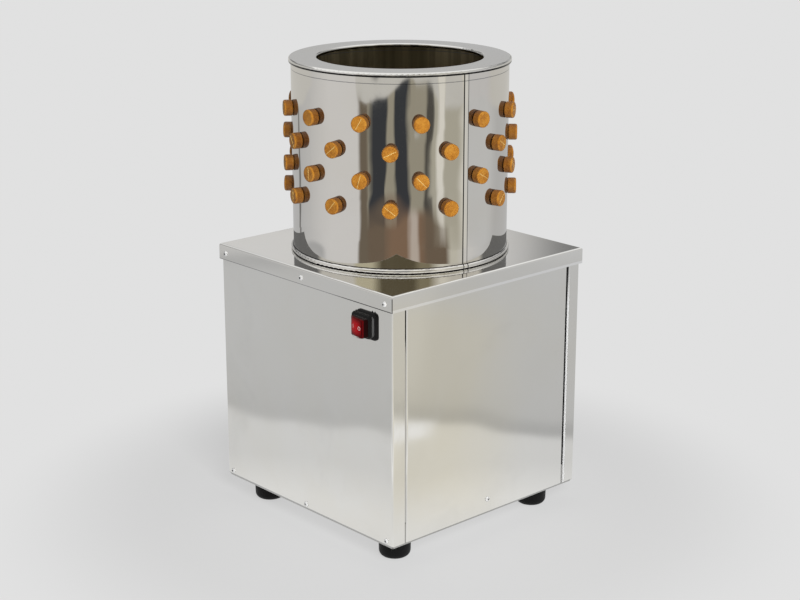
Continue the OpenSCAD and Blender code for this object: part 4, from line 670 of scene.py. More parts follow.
# %% Dished sheet round the fingers
DRUM_R, FIRST_FINGER, FINGER_PITCH = 150.0, 1.0, 29.7
DISH_FROM, DISH_RADIUS, DISH_DEPTH = 0.006, 0.030, 0.00005
row_heights, row_turns = {}, {}
for row in (1, 2, 3, 4):
    low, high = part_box(f"wall_fingers_{row}")
    row_heights[row] = (low[2] + high[2]) / 2
    row_turns[row] = FIRST_FINGER + (FINGER_PITCH / 2 if row % 2 == 0 else 0.0)
height = sides.outputs["Z"]
full_turn = maths(tree, "WRAP", azimuth, 2 * math.pi, 0.0)
nearest = 1.0
for rows in ((1, 3), (2, 4)):
    from_first = maths(tree, "SUBTRACT", full_turn, math.radians(row_turns[rows[0]]))
    fold = maths(tree, "PINGPONG", from_first, math.radians(FINGER_PITCH) / 2)
    aside = maths(tree, "MULTIPLY", fold, DRUM_R * MM)
    upper, lower = [maths(tree, "ABSOLUTE", maths(tree, "SUBTRACT", height, row_heights[row]))
                    for row in rows]
    above = maths(tree, "MINIMUM", upper, lower)
    squares = maths(tree, "ADD", maths(tree, "POWER", aside, 2.0), maths(tree, "POWER", above, 2.0))
    nearest = maths(tree, "MINIMUM", maths(tree, "SQRT", squares), nearest)
dish = span(tree, nearest, DISH_FROM, DISH_RADIUS)
bump(tree, shader, dish, DISH_DEPTH, 1.0, shader.inputs["Normal"].links[0].from_socket)
print("finger rows at", [round(row_height, 4) for row_height in row_heights.values()])

# %% [markdown]
# Bolts, shafts and bearing rings are turned from bar, so their marks run round the bar and not along it.
# Streaks that are pulled out sideways and squeezed in height give such marks on every piece at once. The
# small panel screws get a finish of their own, paler and with specks of grime, so that they read as dots.

# %% Turned steel and plated screws
turned_steel, tree, shader, place = blank("turned_steel", metallic=1.0)
marks = use_group(tree, streaks, Vector=place, Stretch=(0.1, 0.1, 1.0), Scale=900.0)
stain = use_group(tree, patches, Vector=place, Scale=60.0, Low=0.5, High=0.85)
stained = blend_colours(tree, stain, (0.72, 0.71, 0.69), (0.52, 0.50, 0.47))
tree.links.new(stained, shader.inputs["Base Color"])
tree.links.new(maths(tree, "MULTIPLY_ADD", marks, 0.22, 0.12), shader.inputs["Roughness"])
bump(tree, shader, marks, 0.00002)

screw_steel, tree, shader, place = blank("screw_steel", metallic=0.3)
grime = use_group(tree, patches, Vector=place, Scale=180.0, Low=0.42, High=0.72)
tree.links.new(blend_colours(tree, grime, grey(1.0), grey(0.82)), shader.inputs["Base Color"])
tree.links.new(maths(tree, "MULTIPLY_ADD", grime, 0.15, 0.22), shader.inputs["Roughness"])
print("small parts", turned_steel.name, screw_steel.name)

# %% [markdown]
# The frame is painted black, and the castings and the motor have paints of their own. Paint sprayed on
# steel has a fine orange peel, and it wears to a dull metal where tools touch it. Wear could be painted by
# hand on each piece. Shared patches reach every piece alike, so one function makes the four paints.

# %% Painted frame, castings and motor
def paint(name, tint, worn, rough, peel, peel_scale):
    material, tree, shader, place = blank(name, Coat_Weight=0.15)
    chips = use_group(tree, patches, Vector=place, Scale=42.0, Low=0.62, High=0.68)
    dust = use_group(tree, patches, Vector=place, Scale=12.0, Low=0.35, High=0.8)
    dusty = tuple(0.5 * channel + 0.12 for channel in tint)
    tone = blend_colours(tree, maths(tree, "MULTIPLY", dust, 0.35), tint, dusty)
    tree.links.new(blend_colours(tree, chips, tone, worn), shader.inputs["Base Color"])
    tree.links.new(maths(tree, "MULTIPLY_ADD", dust, 0.2, rough), shader.inputs["Roughness"])
    bump(tree, shader, noise(tree, place, peel_scale, 3.0), peel)
    return material


black_paint = paint("black_paint", grey(0.022), (0.16, 0.15, 0.14), 0.42, 0.0001, 900.0)
housing_paint = paint("housing_paint", (0.035, 0.10, 0.15), (0.22, 0.21, 0.20), 0.45, 0.0006, 420.0)
pulley_iron = paint("pulley_iron", (0.20, 0.20, 0.205), (0.34, 0.33, 0.32), 0.48, 0.0005, 380.0)
motor_paint = paint("motor_paint", (0.12, 0.135, 0.14), (0.28, 0.28, 0.27), 0.46, 0.0003, 520.0)
print("paints", [m.name for m in (black_paint, housing_paint, pulley_iron, motor_paint)])

# %% [markdown]
# Inside the motor, the cores are stacks of thin plates and the windings are varnished wire. Hundreds of
# plates and turns could be modelled, but nobody sees them unless the motor is opened. A wave texture draws
# both: bands across the axis for the plates, and finer bands for the wire.

# %% Motor core and windings
def banded(name, tint_a, tint_b, scale, axis, metallic, rough, depth):
    material, tree, shader, place = blank(name, metallic=metallic, roughness=rough)
    bands = add(tree, "ShaderNodeTexWave",
                {"Vector": place, "Scale": scale, "Distortion": 1.5, "Detail": 2.0},
                bands_direction=axis).outputs["Fac"]
    tree.links.new(blend_colours(tree, bands, tint_a, tint_b), shader.inputs["Base Color"])
    bump(tree, shader, bands, depth)
    return material


core_plates = banded("core_plates", (0.30, 0.30, 0.31), (0.44, 0.43, 0.42), 310.0, "Z",
                     metallic=1.0, rough=0.42, depth=0.0002)
winding_wire = banded("winding_wire", (0.48, 0.19, 0.07), (0.72, 0.33, 0.14), 260.0, "DIAGONAL",
                      metallic=0.8, rough=0.34, depth=0.0005)
print("motor insides", core_plates.name, winding_wire.name)

# %% [markdown]
# The fingers are moulded from a natural rubber compound with a cork-like look: ochre, with darker and paler
# flecks, and a dull skin. Two sizes of noise mixed into one ramp give the flecks. The round side of a head
# is painted darker, as shade. Where the steel mirrors a finger it shows the shaded side that faces the wall,
# so mirrored rays see a deeper brown. Inside the drum the fingers are painted dark brown, as shade.

# %% Amber rubber
HEAD_SIDE, HEAD_FACE, HEAD_SIDE_SHADE = 0.1592, 0.1612, (0.52, 0.48, 0.55)
MIRRORED_SHARE, SHADED_SIDE, INSIDE_DRUM_SHADE = 0.62, (0.05, 0.018, 0.004), (0.16, 0.060, 0.010)


def amber(name, deep, mid, light):
    material, tree, shader, place = blank(name)
    cloud = noise(tree, place, 90.0, 3.0, 0.6)
    fleck = noise(tree, place, 650.0, 2.0, 0.6)
    mottle = maths(tree, "MULTIPLY_ADD", fleck, 0.45, maths(tree, "MULTIPLY", cloud, 0.55))
    tone = ramp(tree, mottle, [(0.34, deep), (0.50, mid), (0.68, light)])
    glossy = add(tree, "ShaderNodeLightPath").outputs["Is Glossy Ray"]
    mirrored = maths(tree, "MULTIPLY", glossy, MIRRORED_SHARE)
    tree.links.new(blend_colours(tree, mirrored, tone, SHADED_SIDE), shader.inputs["Base Color"])
    tree.links.new(maths(tree, "MULTIPLY_ADD", fleck, 0.25, 0.36), shader.inputs["Roughness"])
    bump(tree, shader, fleck, 0.0002)
    return material


amber_rubber = amber("amber_rubber", (0.32, 0.110, 0.010), (0.56, 0.225, 0.022), (0.70, 0.33, 0.045))
tree = amber_rubber.node_tree
shader = tree.nodes["Principled BSDF"]
from_axis = axis_distance(tree, add(tree, "ShaderNodeTexCoord").outputs["Object"])
before = shader.inputs["Base Color"].links[0].from_socket
# The heads' round sides are painted darker, as shade.
side = span(tree, from_axis, HEAD_FACE, HEAD_SIDE)
tree.links.new(blend_colours(tree, side, before, HEAD_SIDE_SHADE, "MULTIPLY"), shader.inputs["Base Color"])
# Fingers inside the drum are painted dark brown, as shade.
dull_or_shade_inside(amber_rubber, "Base Color", INSIDE_DRUM_SHADE)
amber_flash = amber("amber_flash", (0.70, 0.42, 0.12), (0.88, 0.60, 0.20), (0.95, 0.72, 0.30))
print("rubber", amber_rubber.name, amber_flash.name)

# %% [markdown]
# Feet, switch housing, gland and seals are moulded in black or grey, with a fine grain from the mould and a
# little dust. The grey of the switch's seal is partly a painted highlight, the light bar between its collar
# and flange. The belt is rubber on a woven cover. A brick texture is a quick weave: its bricks are the
# threads, and its mortar is the dark between them.

# %% Dark mouldings and the belt
def dark_moulding(name, tint, rough, grain_scale, grain, dust_tint):
    material, tree, shader, place = blank(name, Specular_IOR_Level=0.16)
    dust = use_group(tree, patches, Vector=place, Scale=30.0, Low=0.42, High=0.85)
    tree.links.new(blend_colours(tree, maths(tree, "MULTIPLY", dust, 0.4), tint, dust_tint),
                   shader.inputs["Base Color"])
    tree.links.new(maths(tree, "MULTIPLY_ADD", dust, 0.18, rough), shader.inputs["Roughness"])
    bump(tree, shader, noise(tree, place, grain_scale, 2.0), grain)
    return material


black_rubber = dark_moulding("black_rubber", grey(0.005), 0.55, 1400.0, 0.00015, grey(0.012))
black_plastic = dark_moulding("black_plastic", grey(0.005), 0.26, 2200.0, 0.00004, grey(0.010))
grey_seal_and_highlight = dark_moulding("grey_seal_and_highlight", grey(0.10), 0.40, 1400.0, 0.00006, grey(0.14))
white_plastic = dark_moulding("white_plastic", grey(0.72), 0.35, 1800.0, 0.00004, (0.62, 0.60, 0.55))

belt_rubber, tree, shader, place = blank("belt_rubber", roughness=0.7)
weave = add(tree, "ShaderNodeTexBrick", {"Vector": place, "Scale": 420.0, "Color1": (*grey(0.020), 1),
                                         "Color2": (*grey(0.034), 1), "Mortar": (*grey(0.008), 1)})
tree.links.new(weave.outputs["Color"], shader.inputs["Base Color"])
bump(tree, shader, weave.outputs["Fac"], 0.0002)
mouldings = (black_rubber, black_plastic, grey_seal_and_highlight, white_plastic, belt_rubber)
print("mouldings", [moulding.name for moulding in mouldings])

# %% [markdown]
# The rocker is clear red plastic over a lamp. The middle of its face is brightest and its thick edges go
# dark, and its side walls are painted dark red as shade. Clear plastic with a lamp inside could be modelled,
# but it renders slowly and is lost in an export. So the colour is worked out square to the rocker's own
# face, after the point is turned back by the rest tilt, and the lamp's own glow is a weak emission.

# %% Lit red rocker
PIVOT_OUT, REST_TILT, CROWN_OUT, CROWN_R = 9.5, -9.0, 21.3, 60.0
LIT_SHIFT, LIT_HALF_W, LIT_HALF_H, LIT_POWER = 0.0045, 0.0185, 0.0130, 3.0
REDS = [(0.10, (0.60, 0.008, 0.012)), (0.55, (0.42, 0.006, 0.010)), (0.85, (0.20, 0.003, 0.005)),
        (1.0, (0.09, 0.002, 0.003))]
WALL_START, WALL_FULL, SIDE_WALL_SHADE_RED = 0.0010, 0.0026, (0.010, 0.001, 0.001)
housing_low, housing_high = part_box("switch_housing")
SWITCH = (Vector(housing_low) + Vector(housing_high)) / 2
SWITCH.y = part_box("front_panel")[0][1]
PIVOT = SWITCH - Vector((0, PIVOT_OUT * MM, 0))
lit_red, tree, shader, place = blank("lit_red", roughness=0.30, Specular_IOR_Level=0.06,
                                     Emission_Strength=0.20)
level = add(tree, "ShaderNodeVectorRotate", {"Vector": place, "Center": tuple(PIVOT),
                                             "Angle": math.radians(-REST_TILT)}, rotation_type="Z_AXIS")
centred = add(tree, "ShaderNodeVectorMath", {0: level.outputs["Vector"], 1: tuple(PIVOT)},
              operation="SUBTRACT")
across = add(tree, "ShaderNodeSeparateXYZ", {"Vector": centred.outputs["Vector"]}).outputs
sideways = maths(tree, "MULTIPLY", maths(tree, "ADD", across["X"], LIT_SHIFT), 1 / LIT_HALF_W)
upwards = maths(tree, "MULTIPLY", across["Z"], 1 / LIT_HALF_H)
rounded = maths(tree, "ADD", maths(tree, "POWER", maths(tree, "ABSOLUTE", sideways), LIT_POWER),
                maths(tree, "POWER", maths(tree, "ABSOLUTE", upwards), LIT_POWER))
cloud = noise(tree, place, 240.0, 2.0)
middle = maths(tree, "MULTIPLY_ADD", cloud, 0.12, maths(tree, "POWER", rounded, 1 / LIT_POWER))
crown = maths(tree, "MULTIPLY_ADD", maths(tree, "POWER", across["X"], 2.0), -0.5 / (CROWN_R * MM),
              (CROWN_OUT - PIVOT_OUT) * MM)
# The side walls below the crown get painted shade.
side_wall_shade = span(tree, maths(tree, "ADD", crown, across["Y"]), WALL_START, WALL_FULL)
red = blend_colours(tree, side_wall_shade, ramp(tree, middle, REDS), SIDE_WALL_SHADE_RED)
tree.links.new(red, shader.inputs["Base Color"])
tree.links.new(red, shader.inputs["Emission Color"])
mark_white = dark_moulding("mark_white", (0.86, 0.62, 0.60), 0.30, 1500.0, 0.00002, (0.92, 0.72, 0.70))
print("finishes", len(bpy.data.materials))

# %% [markdown]
# Each CAD node keeps its shape and gets its finish here. The slots could be filled by hand, one object after
# another. A list by finish reads like a parts list instead, and shows at once if a node was forgotten.

# %% Finishes for the CAD nodes
FINISHES = {
    drum_steel: ["drum_shell"],
    ring_steel: ["drum_top_ring"],
    cover_steel: ["top_cover"],
    panel_steel: ["front_panel", "rear_panel", "left_panel", "right_panel"],
    pan_steel: ["bottom_pan"],
    inner_steel: ["feather_plate", "feather_chute", "outlet_spout", "drum_brackets"],
    turned_steel: ["panel_screws", "foot_bolts", "frame_bolts", "bearing_bolts", "motor_bolts", "hub_bolts",
                   "drum_nuts", "main_shaft", "shaft_keys", "plate_hub", "plate_washer", "plate_cap_nut",
                   "bearing_outer_rings", "bearing_inner_rings", "bearing_balls", "motor_bearings",
                   "motor_shaft"],
    black_paint: ["corner_posts", "lower_rails", "upper_rails", "upper_beam", "drive_plate",
                  "motor_fan_cover"],
    housing_paint: ["upper_bearing_housing", "lower_bearing_housing"],
    pulley_iron: ["driven_pulley", "motor_pulley"],
    motor_paint: ["motor_flange", "motor_housing", "motor_end_shield"],
    core_plates: ["rotor_core", "stator_core"],
    winding_wire: ["stator_windings"],
    amber_rubber: ["wall_fingers_1", "wall_fingers_2", "wall_fingers_3", "wall_fingers_4", "plate_fingers"],
    black_rubber: ["rubber_feet", "splash_cup", "motor_cable"],
    belt_rubber: ["v_belt"],
    black_plastic: ["switch_housing", "cable_gland", "terminal_box", "motor_fan"],
    white_plastic: ["capacitor"],
    lit_red: ["switch_rocker"],
}
for finish, names in FINISHES.items():
    for name in names:
        slots = nodes_of_frame[name].data.materials
        slots.clear()
        slots.append(finish)
bare = set(nodes_of_frame) - {name for names in FINISHES.values() for name in names}
print("nodes without a finish", sorted(bare))

# %% [markdown]
# Now the pieces that deserve a closer look are modelled again, over the CAD ones. First come helpers for
# what hands do with the mouse: go into edit mode, merge doubled points and turn the faces outwards, and pick
# edges or faces. A pick goes by place or direction, so it still works when a size changes.

# %% Picking and cleaning
def edit(piece):
    deselect()
    piece.select_set(True)
    bpy.context.view_layer.objects.active = piece
    bpy.ops.object.mode_set(mode="EDIT")
    bpy.ops.mesh.select_mode(type="VERT")
    bpy.ops.mesh.select_all(action="DESELECT")


def clean(piece):
    edit(piece)
    bpy.ops.mesh.select_all(action="SELECT")
    bpy.ops.mesh.remove_doubles(threshold=1e-6)
    bpy.ops.mesh.normals_make_consistent(inside=False)
    bpy.ops.object.mode_set(mode="OBJECT")
    return piece


def pick_edges(piece, test):
    edit(piece)
    bpy.ops.mesh.select_mode(type="EDGE")
    bpy.ops.object.mode_set(mode="OBJECT")
    points = piece.data.vertices
    for edge in piece.data.edges:
        edge.select = test(*[points[i].co for i in edge.vertices])
    bpy.ops.object.mode_set(mode="EDIT")


def pick_faces(piece, test):
    edit(piece)
    bpy.ops.mesh.select_mode(type="FACE")
    bpy.ops.object.mode_set(mode="OBJECT")
    for face in piece.data.polygons:
        face.select = test(face)
    bpy.ops.object.mode_set(mode="EDIT")


print("picking helpers", [helper.__name__ for helper in (edit, clean, pick_edges, pick_faces)])

# %% [markdown]
# Three helpers make shapes, each as a workshop would. turned() spins an outline about an axis, as a lathe
# does. lofted() pulls a rounded rectangle outwards in stations, as a mould is filled. block() is a bar with
# broken edges. Meshes could be typed in point by point, but an outline is easier to read and to change.

# %% Turning, lofting and blocks
def turned(name, outline, steps):
    deselect()
    bpy.ops.mesh.primitive_plane_add(size=0.01)
    piece = bpy.context.object
    piece.name = name
    edit(piece)
    bpy.ops.mesh.select_all(action="SELECT")
    bpy.ops.mesh.merge(type="CENTER")
    radius, height = outline[0]
    bpy.ops.transform.translate(value=(radius * MM, 0, height * MM))
    for next_radius, next_height in outline[1:]:
        move = ((next_radius - radius) * MM, 0, (next_height - height) * MM)
        bpy.ops.mesh.extrude_region_move(TRANSFORM_OT_translate={"value": move})
        radius, height = next_radius, next_height
    bpy.ops.mesh.select_all(action="SELECT")
    bpy.ops.mesh.spin(steps=steps, angle=2 * math.pi, center=(0, 0, 0), axis=(0, 0, 1))
    return clean(piece)


def lofted(name, corner, stations, segments=6):
    """Rounded rectangle pulled along +Z through stations, in millimetres.

    A station is (height, width, depth), and a fourth value shifts it along Y."""
    deselect()
    bpy.ops.mesh.primitive_plane_add(size=1)
    piece = bpy.context.object
    piece.name = name
    height, width, depth = stations[0]
    shift = 0.0
    piece.scale = (width * MM, depth * MM, 1)
    piece.location = (0, 0, height * MM)
    bpy.ops.object.transform_apply(location=True, rotation=True, scale=True)
    edit(piece)
    bpy.ops.mesh.select_all(action="SELECT")
    bpy.ops.mesh.bevel(offset=corner * MM, segments=segments, affect="VERTICES")
    bpy.ops.mesh.select_all(action="SELECT")
    for next_height, next_width, next_depth, *moved in stations[1:]:
        next_shift = moved[0] if moved else 0.0
        move = (0, (next_shift - shift) * MM, (next_height - height) * MM)
        bpy.ops.mesh.extrude_region_move(TRANSFORM_OT_translate={"value": move})
        bpy.ops.transform.resize(value=(next_width / width, next_depth / depth, 1),
                                 center_override=(0, next_shift * MM, next_height * MM))
        height, width, depth, shift = next_height, next_width, next_depth, next_shift
    return clean(piece)


def block(name, size, middle, edge):
    deselect()
    bpy.ops.mesh.primitive_cube_add(size=1)
    piece = bpy.context.object
    piece.name = name
    piece.scale = [side * MM for side in size]
    piece.location = [place * MM for place in middle]
    bpy.ops.object.transform_apply(location=True, rotation=True, scale=True)
    edit(piece)
    bpy.ops.mesh.select_all(action="SELECT")
    bpy.ops.mesh.bevel(offset=edge * MM, segments=2, affect="EDGES")
    bpy.ops.object.mode_set(mode="OBJECT")
    return piece


print("shape helpers", [helper.__name__ for helper in (turned, lofted, block)])

# %% [markdown]
# The last helpers place copies, each with its own mesh, join them, give the finishes and hand the piece over
# to the body that carries it. A joined piece keeps its place in its mesh, so its own origin stays at the
# object's origin and every pattern stays where it belongs.

# %% Copying, joining and handing over
def copy_of(master, matrix):
    twin = master.copy()
    twin.data = master.data.copy()
    bpy.context.scene.collection.objects.link(twin)
    twin.matrix_world = matrix @ master.matrix_world
    return twin


def joined(name, items):
    deselect()
    for item in items:
        item.select_set(True)
    bpy.context.view_layer.objects.active = items[0]
    bpy.ops.object.transform_apply(location=True, rotation=True, scale=True)
    if len(items) > 1:
        bpy.ops.object.join()
    piece = bpy.context.object
    piece.name = name
    return piece


def dress(piece, *finishes):
    piece.data.materials.clear()
    for finish in finishes:
        piece.data.materials.append(finish)
    return piece


SMOOTH_UNDER = math.radians(35.0)


def hand_over(piece, body, *nodes):
    deselect()
    piece.select_set(True)
    bpy.context.view_layer.objects.active = piece
    bpy.ops.object.shade_smooth_by_angle(angle=SMOOTH_UNDER)
    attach(piece, body)
    if nodes:
        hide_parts(*nodes)
    print(piece.name, "faces", len(piece.data.polygons), "rides", body)


def scrap(*items):
    for item in items:
        bpy.data.objects.remove(item)


print("hand-over helpers", [helper.__name__ for helper in (copy_of, joined, dress, hand_over, scrap)])

# %% [markdown]
# A plucker finger is moulded rubber: a round head outside the drum, a neck in the sheet's hole, a
# retaining collar, and a long taper with ribs that rub the feathers out. It is round all along, so one
# outline is spun. Its mould closes in two halves, which leaves a thin raised line across the head. The line
# is a separate small bar, so that each finger can be turned its own way, as hands push them in.

# %% One finger and its mould line
HEAD_R, HEAD_H, HEAD_ROUND = 11.0, 12.0, 2.2
NECK_R, WALL_SEAT, PLATE_SEAT = 8.5, 2.146, 4.2
COLLAR_R, COLLAR_H = 11.5, 5.0
ROOT_R, TIP_R, TAPER, RIBS, RIB_H = 9.0, 6.0, 57.0, 7, 1.0
FACE_DIP = 0.35
RIB_SHAPE = ((0.05, 0.0), (0.70, 0.1), (0.90, 0.75), (1.2, 1.0), (1.6, 0.75), (1.95, 0.0))


def arc(middle_r, middle_z, radius, start, end, count):
    angles = [math.radians(start + (end - start) * i / count) for i in range(count + 1)]
    return [(middle_r + radius * math.cos(a), middle_z + radius * math.sin(a)) for a in angles]


def finger_outline(seat):
    rim = HEAD_R - HEAD_ROUND
    outline = [(0, HEAD_H - FACE_DIP), (rim * 0.7, HEAD_H - FACE_DIP)]
    outline += arc(rim, HEAD_H - HEAD_ROUND, HEAD_ROUND, 90, 0, 5)
    outline += [(HEAD_R, 1.0), (HEAD_R - 0.8, 0.1), (NECK_R, 0.1), (NECK_R, -seat)]
    low = -seat - COLLAR_H
    outline += [(COLLAR_R, -seat), (COLLAR_R, low + 1), (COLLAR_R - 1, low)]
    step = TAPER / (2 * RIBS + 1)
    for i in range(RIBS):
        for share, lift in RIB_SHAPE:
            depth = step * (2 * i + share)
            outline.append((ROOT_R + (TIP_R - ROOT_R) * depth / TAPER + RIB_H * lift, low - depth))
    tip = low - TAPER
    outline += arc(TIP_R - 2.0, tip + 2.0, 2.0, 0, -90, 4)
    return outline + [(0, tip)]


wall_finger = dress(turned("wall_finger", finger_outline(WALL_SEAT), 36), amber_rubber)
plate_finger = dress(turned("plate_finger", finger_outline(PLATE_SEAT), 36), amber_rubber)
mould_line = block("mould_line", (2 * HEAD_R - 3.6, 0.9, 0.9), (0, 0, HEAD_H - 0.3), 0.3)
dress(mould_line, amber_flash)
print("finger faces", len(wall_finger.data.polygons))

# %% [markdown]
# The holes were punched in the flat sheet at one pitch, before it was rolled. So every row starts a
# little way past the lap seam, and the step across the seam is a bit wider than the others. The rows'
# heights come from the CAD nodes. An array modifier would repeat one finger exactly. A loop lets each one be
# turned at random, and a few heads keep no mould line, or one at a chosen angle.

# %% The drum's four rows
SEAT_GAP, PER_ROW = 0.1, 12
NO_LINE = {(1, 11), (1, 0), (2, 11), (4, 11), (1, 9)}
LINE_TURN = {(2, 10): 25, (2, 9): 40, (2, 0): -30, (3, 10): 75, (3, 11): -45, (3, 0): -30, (3, 9): 90,
             (4, 10): -38, (1, 10): 60, (4, 9): 50}
random.seed(11)
for row, row_height in row_heights.items():
    items = []
    for i in range(PER_ROW):
        outwards = (Matrix.Rotation(math.radians(row_turns[row] + i * FINGER_PITCH), 4, "Z")
                    @ Matrix.Translation(((DRUM_R + SEAT_GAP) * MM, 0, row_height))
                    @ Matrix.Rotation(math.radians(90), 4, "Y"))
        spun = Matrix.Rotation(random.uniform(0, 2 * math.pi), 4, "Z")
        items.append(copy_of(wall_finger, outwards @ spun))
        line_turn = LINE_TURN.get((row, i), random.uniform(-90, 90))
        if (row, i) not in NO_LINE:
            upright = Matrix.Rotation(math.radians(90 + line_turn), 4, "Z")
            items.append(copy_of(mould_line, outwards @ upright))
    hand_over(joined(f"finger_row_{row}", items), "cabinet", f"wall_fingers_{row}")

# %% [markdown]
# The same finger stands on the spinning plate, with its head below and its ribs up among the birds. It sits
# in two rings, and the plate is thicker than the drum, so its seat is longer. All of them ride on the plate.

# %% The plate's fingers
PLATE_RINGS = ((10, 106.0), (6, 64.0))
plate_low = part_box("feather_plate")[0][2]
items = []
for count, radius in PLATE_RINGS:
    for i in range(count):
        upright = (Matrix.Rotation(2 * math.pi * i / count, 4, "Z")
                   @ Matrix.Translation((radius * MM, 0, plate_low - SEAT_GAP * MM))
                   @ Matrix.Rotation(math.pi, 4, "X"))
        items.append(copy_of(plate_finger, upright))
hand_over(joined("plate_finger_set", items), "plate", "plate_fingers")
scrap(wall_finger, plate_finger, mould_line)

# %% [markdown]
# The switch is a snap-in rocker. Its housing has a flange on the panel, then a narrower neck with a grey
# seal round it, whose paler grey is partly a painted highlight, then a collar with a soft rib, and a well
# for the rocker. The collar stands a little higher than the rocker. Boxes could be stacked and cut. One
# loft, from the panel outwards and back down into the well, keeps the walls even and the corners round, as
# the mould does.

# %% Switch housing
FLANGE_W, FLANGE_H, FLANGE_T, FLANGE_CORNER = 39.4, 37.0, 5.0, 5.0
NECK_W, NECK_H, NECK_OUT = 31.8, 27.4, 9.4
COLLAR_W, COLLAR_TALL, COLLAR_OUT, COLLAR_UP = 34.6, 31.6, 15.0, 1.6
WELL_W, WELL_H, WELL_FLOOR = 30.6, 25.8, 2.5
RIB_MIDDLE, RIB_HALF = 12.2, 1.0


def grown(out, by):
    return (out, COLLAR_W + by, COLLAR_TALL + by, COLLAR_UP)


stations = [(0, FLANGE_W, FLANGE_H), (FLANGE_T - 1.8, FLANGE_W, FLANGE_H),
            (FLANGE_T - 0.7, FLANGE_W - 0.6, FLANGE_H - 0.6),
            (FLANGE_T - 0.2, FLANGE_W - 1.8, FLANGE_H - 1.8), (FLANGE_T, FLANGE_W - 3.0, FLANGE_H - 3.0),
            (FLANGE_T, NECK_W, NECK_H), (NECK_OUT, NECK_W, NECK_H),
            grown(NECK_OUT, -1.0), grown(NECK_OUT + 0.5, 0.0)]
for share, lift in ((-1.0, 0.0), (-0.6, 1.0), (0.0, 1.3), (0.6, 1.0), (1.0, 0.0)):
    stations.append(grown(RIB_MIDDLE + share * RIB_HALF, lift))
stations += [grown(COLLAR_OUT - 0.9, 0.0), grown(COLLAR_OUT - 0.3, -0.5), grown(COLLAR_OUT, -1.6),
             (COLLAR_OUT, WELL_W + 0.8, WELL_H + 0.8), (COLLAR_OUT - 0.5, WELL_W, WELL_H),
             (WELL_FLOOR, WELL_W, WELL_H)]
housing = dress(lofted("switch_moulding", FLANGE_CORNER, stations), black_plastic, grey_seal_and_highlight)
# The neck's faces get the grey seal finish, partly a painted highlight.
for face in housing.data.polygons:
    outward = face.normal.xy.dot(face.center.xy) > 0
    if outward and FLANGE_T < face.center.z / MM < NECK_OUT - 0.1:
        face.material_index = 1
print("switch faces", len(housing.data.polygons))

# %% [markdown]
# Behind the panel the switch has a plain body with four blades for the wires. Three small ears on top
# are the ends of its snap springs. They are blocks and small lofts, because little of them shows. The parts
# are made lying flat, then turned to face the front all together.

# %% Switch body, blades and ears
BODY_W, BODY_H, BODY_D = 27.0, 21.0, 27.2
BLADE, BLADE_X, BLADE_Y, BLADE_OUT = (1.0, 5.0, 9.0), 8, 5, 4.3
EAR_PLACES = ((-10.7, 12.4, 16.8), (11.1, 3.4, 18.0), (16.2, 3.4, 17.8))
body = block("switch_body", (BODY_W, BODY_H, BODY_D), (0, 0, -BODY_D / 2), 0.8)
blades = [block("blade", BLADE, (x, y, -BODY_D - BLADE_OUT), 0.2)
          for x in (-BLADE_X, BLADE_X) for y in (-BLADE_Y, BLADE_Y)]
ears = []
for x, out, root in EAR_PLACES:
    ear = lofted("ear", 0.4, [(root, 3.0, 1.6), (root + 2.0, 2.0, 1.4), (root + 3.6, 0.8, 0.8)], 2)
    ear.rotation_euler = (math.radians(-90), 0, 0)
    ear.location = (x * MM, 0, out * MM)
    ears.append(ear)
switch_place = Matrix.Translation(SWITCH) @ Matrix.Rotation(math.radians(90), 4, "X")
switch_parts = [housing, body, *blades, *ears]
bpy.context.view_layer.update()
for part in switch_parts:
    part.matrix_world = switch_place @ part.matrix_world
for part in switch_parts[1:]:
    dress(part, black_plastic)
switch_shell = joined("switch_shell", switch_parts)
hand_over(switch_shell, "cabinet", "switch_housing")
switch_shell.visible_glossy = False

# %% [markdown]
# The rocker's face is part of a large cylinder. It could be cut from a real cylinder, but that leaves long
# thin faces. So one straight edge is spun through a small angle and then given its depth, and the corners
# and the rim are rounded with bevels.

# %% Rocker
ROCKER_W, ROCKER_H, ROCKER_BACK, ROCKER_CORNER, ROCKER_RIM = 28.0, 25.0, 3.0, 2.6, 1.2
crown_lift = CROWN_OUT - PIVOT_OUT
half_sweep = math.asin(ROCKER_W / 2 / CROWN_R)
deselect()
bpy.ops.mesh.primitive_plane_add(size=1)
rocker = bpy.context.object
edit(rocker)
bpy.ops.mesh.select_all(action="SELECT")
bpy.ops.mesh.merge(type="CENTER")
edge_z = crown_lift - CROWN_R * (1 - math.cos(half_sweep))
bpy.ops.transform.translate(value=(-ROCKER_W / 2 * MM, -ROCKER_H / 2 * MM, edge_z * MM))
bpy.ops.mesh.extrude_region_move(TRANSFORM_OT_translate={"value": (0, ROCKER_H * MM, 0)})
bpy.ops.mesh.select_all(action="SELECT")
bpy.ops.mesh.spin(steps=14, angle=2 * half_sweep, center=(0, 0, (crown_lift - CROWN_R) * MM),
                  axis=(0, -1, 0))
bpy.ops.mesh.select_all(action="SELECT")
down = (0, 0, -(crown_lift + ROCKER_BACK) * MM)
bpy.ops.mesh.extrude_region_move(TRANSFORM_OT_translate={"value": down})
bpy.ops.transform.resize(value=(1, 1, 0), center_override=(0, 0, -ROCKER_BACK * MM))
clean(rocker)
crown_top = max(point.co.z for point in rocker.data.vertices)
print("crown", round(crown_top / MM, 2), "mm above the pivot")
pick_edges(rocker, lambda a, b: abs(a.x - b.x) < 1e-6 and abs(a.y - b.y) < 1e-6)
bpy.ops.mesh.bevel(offset=ROCKER_CORNER * MM, segments=5, affect="EDGES")
bpy.ops.object.mode_set(mode="OBJECT")
pick_faces(rocker, lambda face: face.normal.z > 0.7)
bpy.ops.mesh.region_to_loop()
bpy.ops.mesh.bevel(offset=ROCKER_RIM * MM, segments=3, affect="EDGES")
dress(clean(rocker), lit_red)

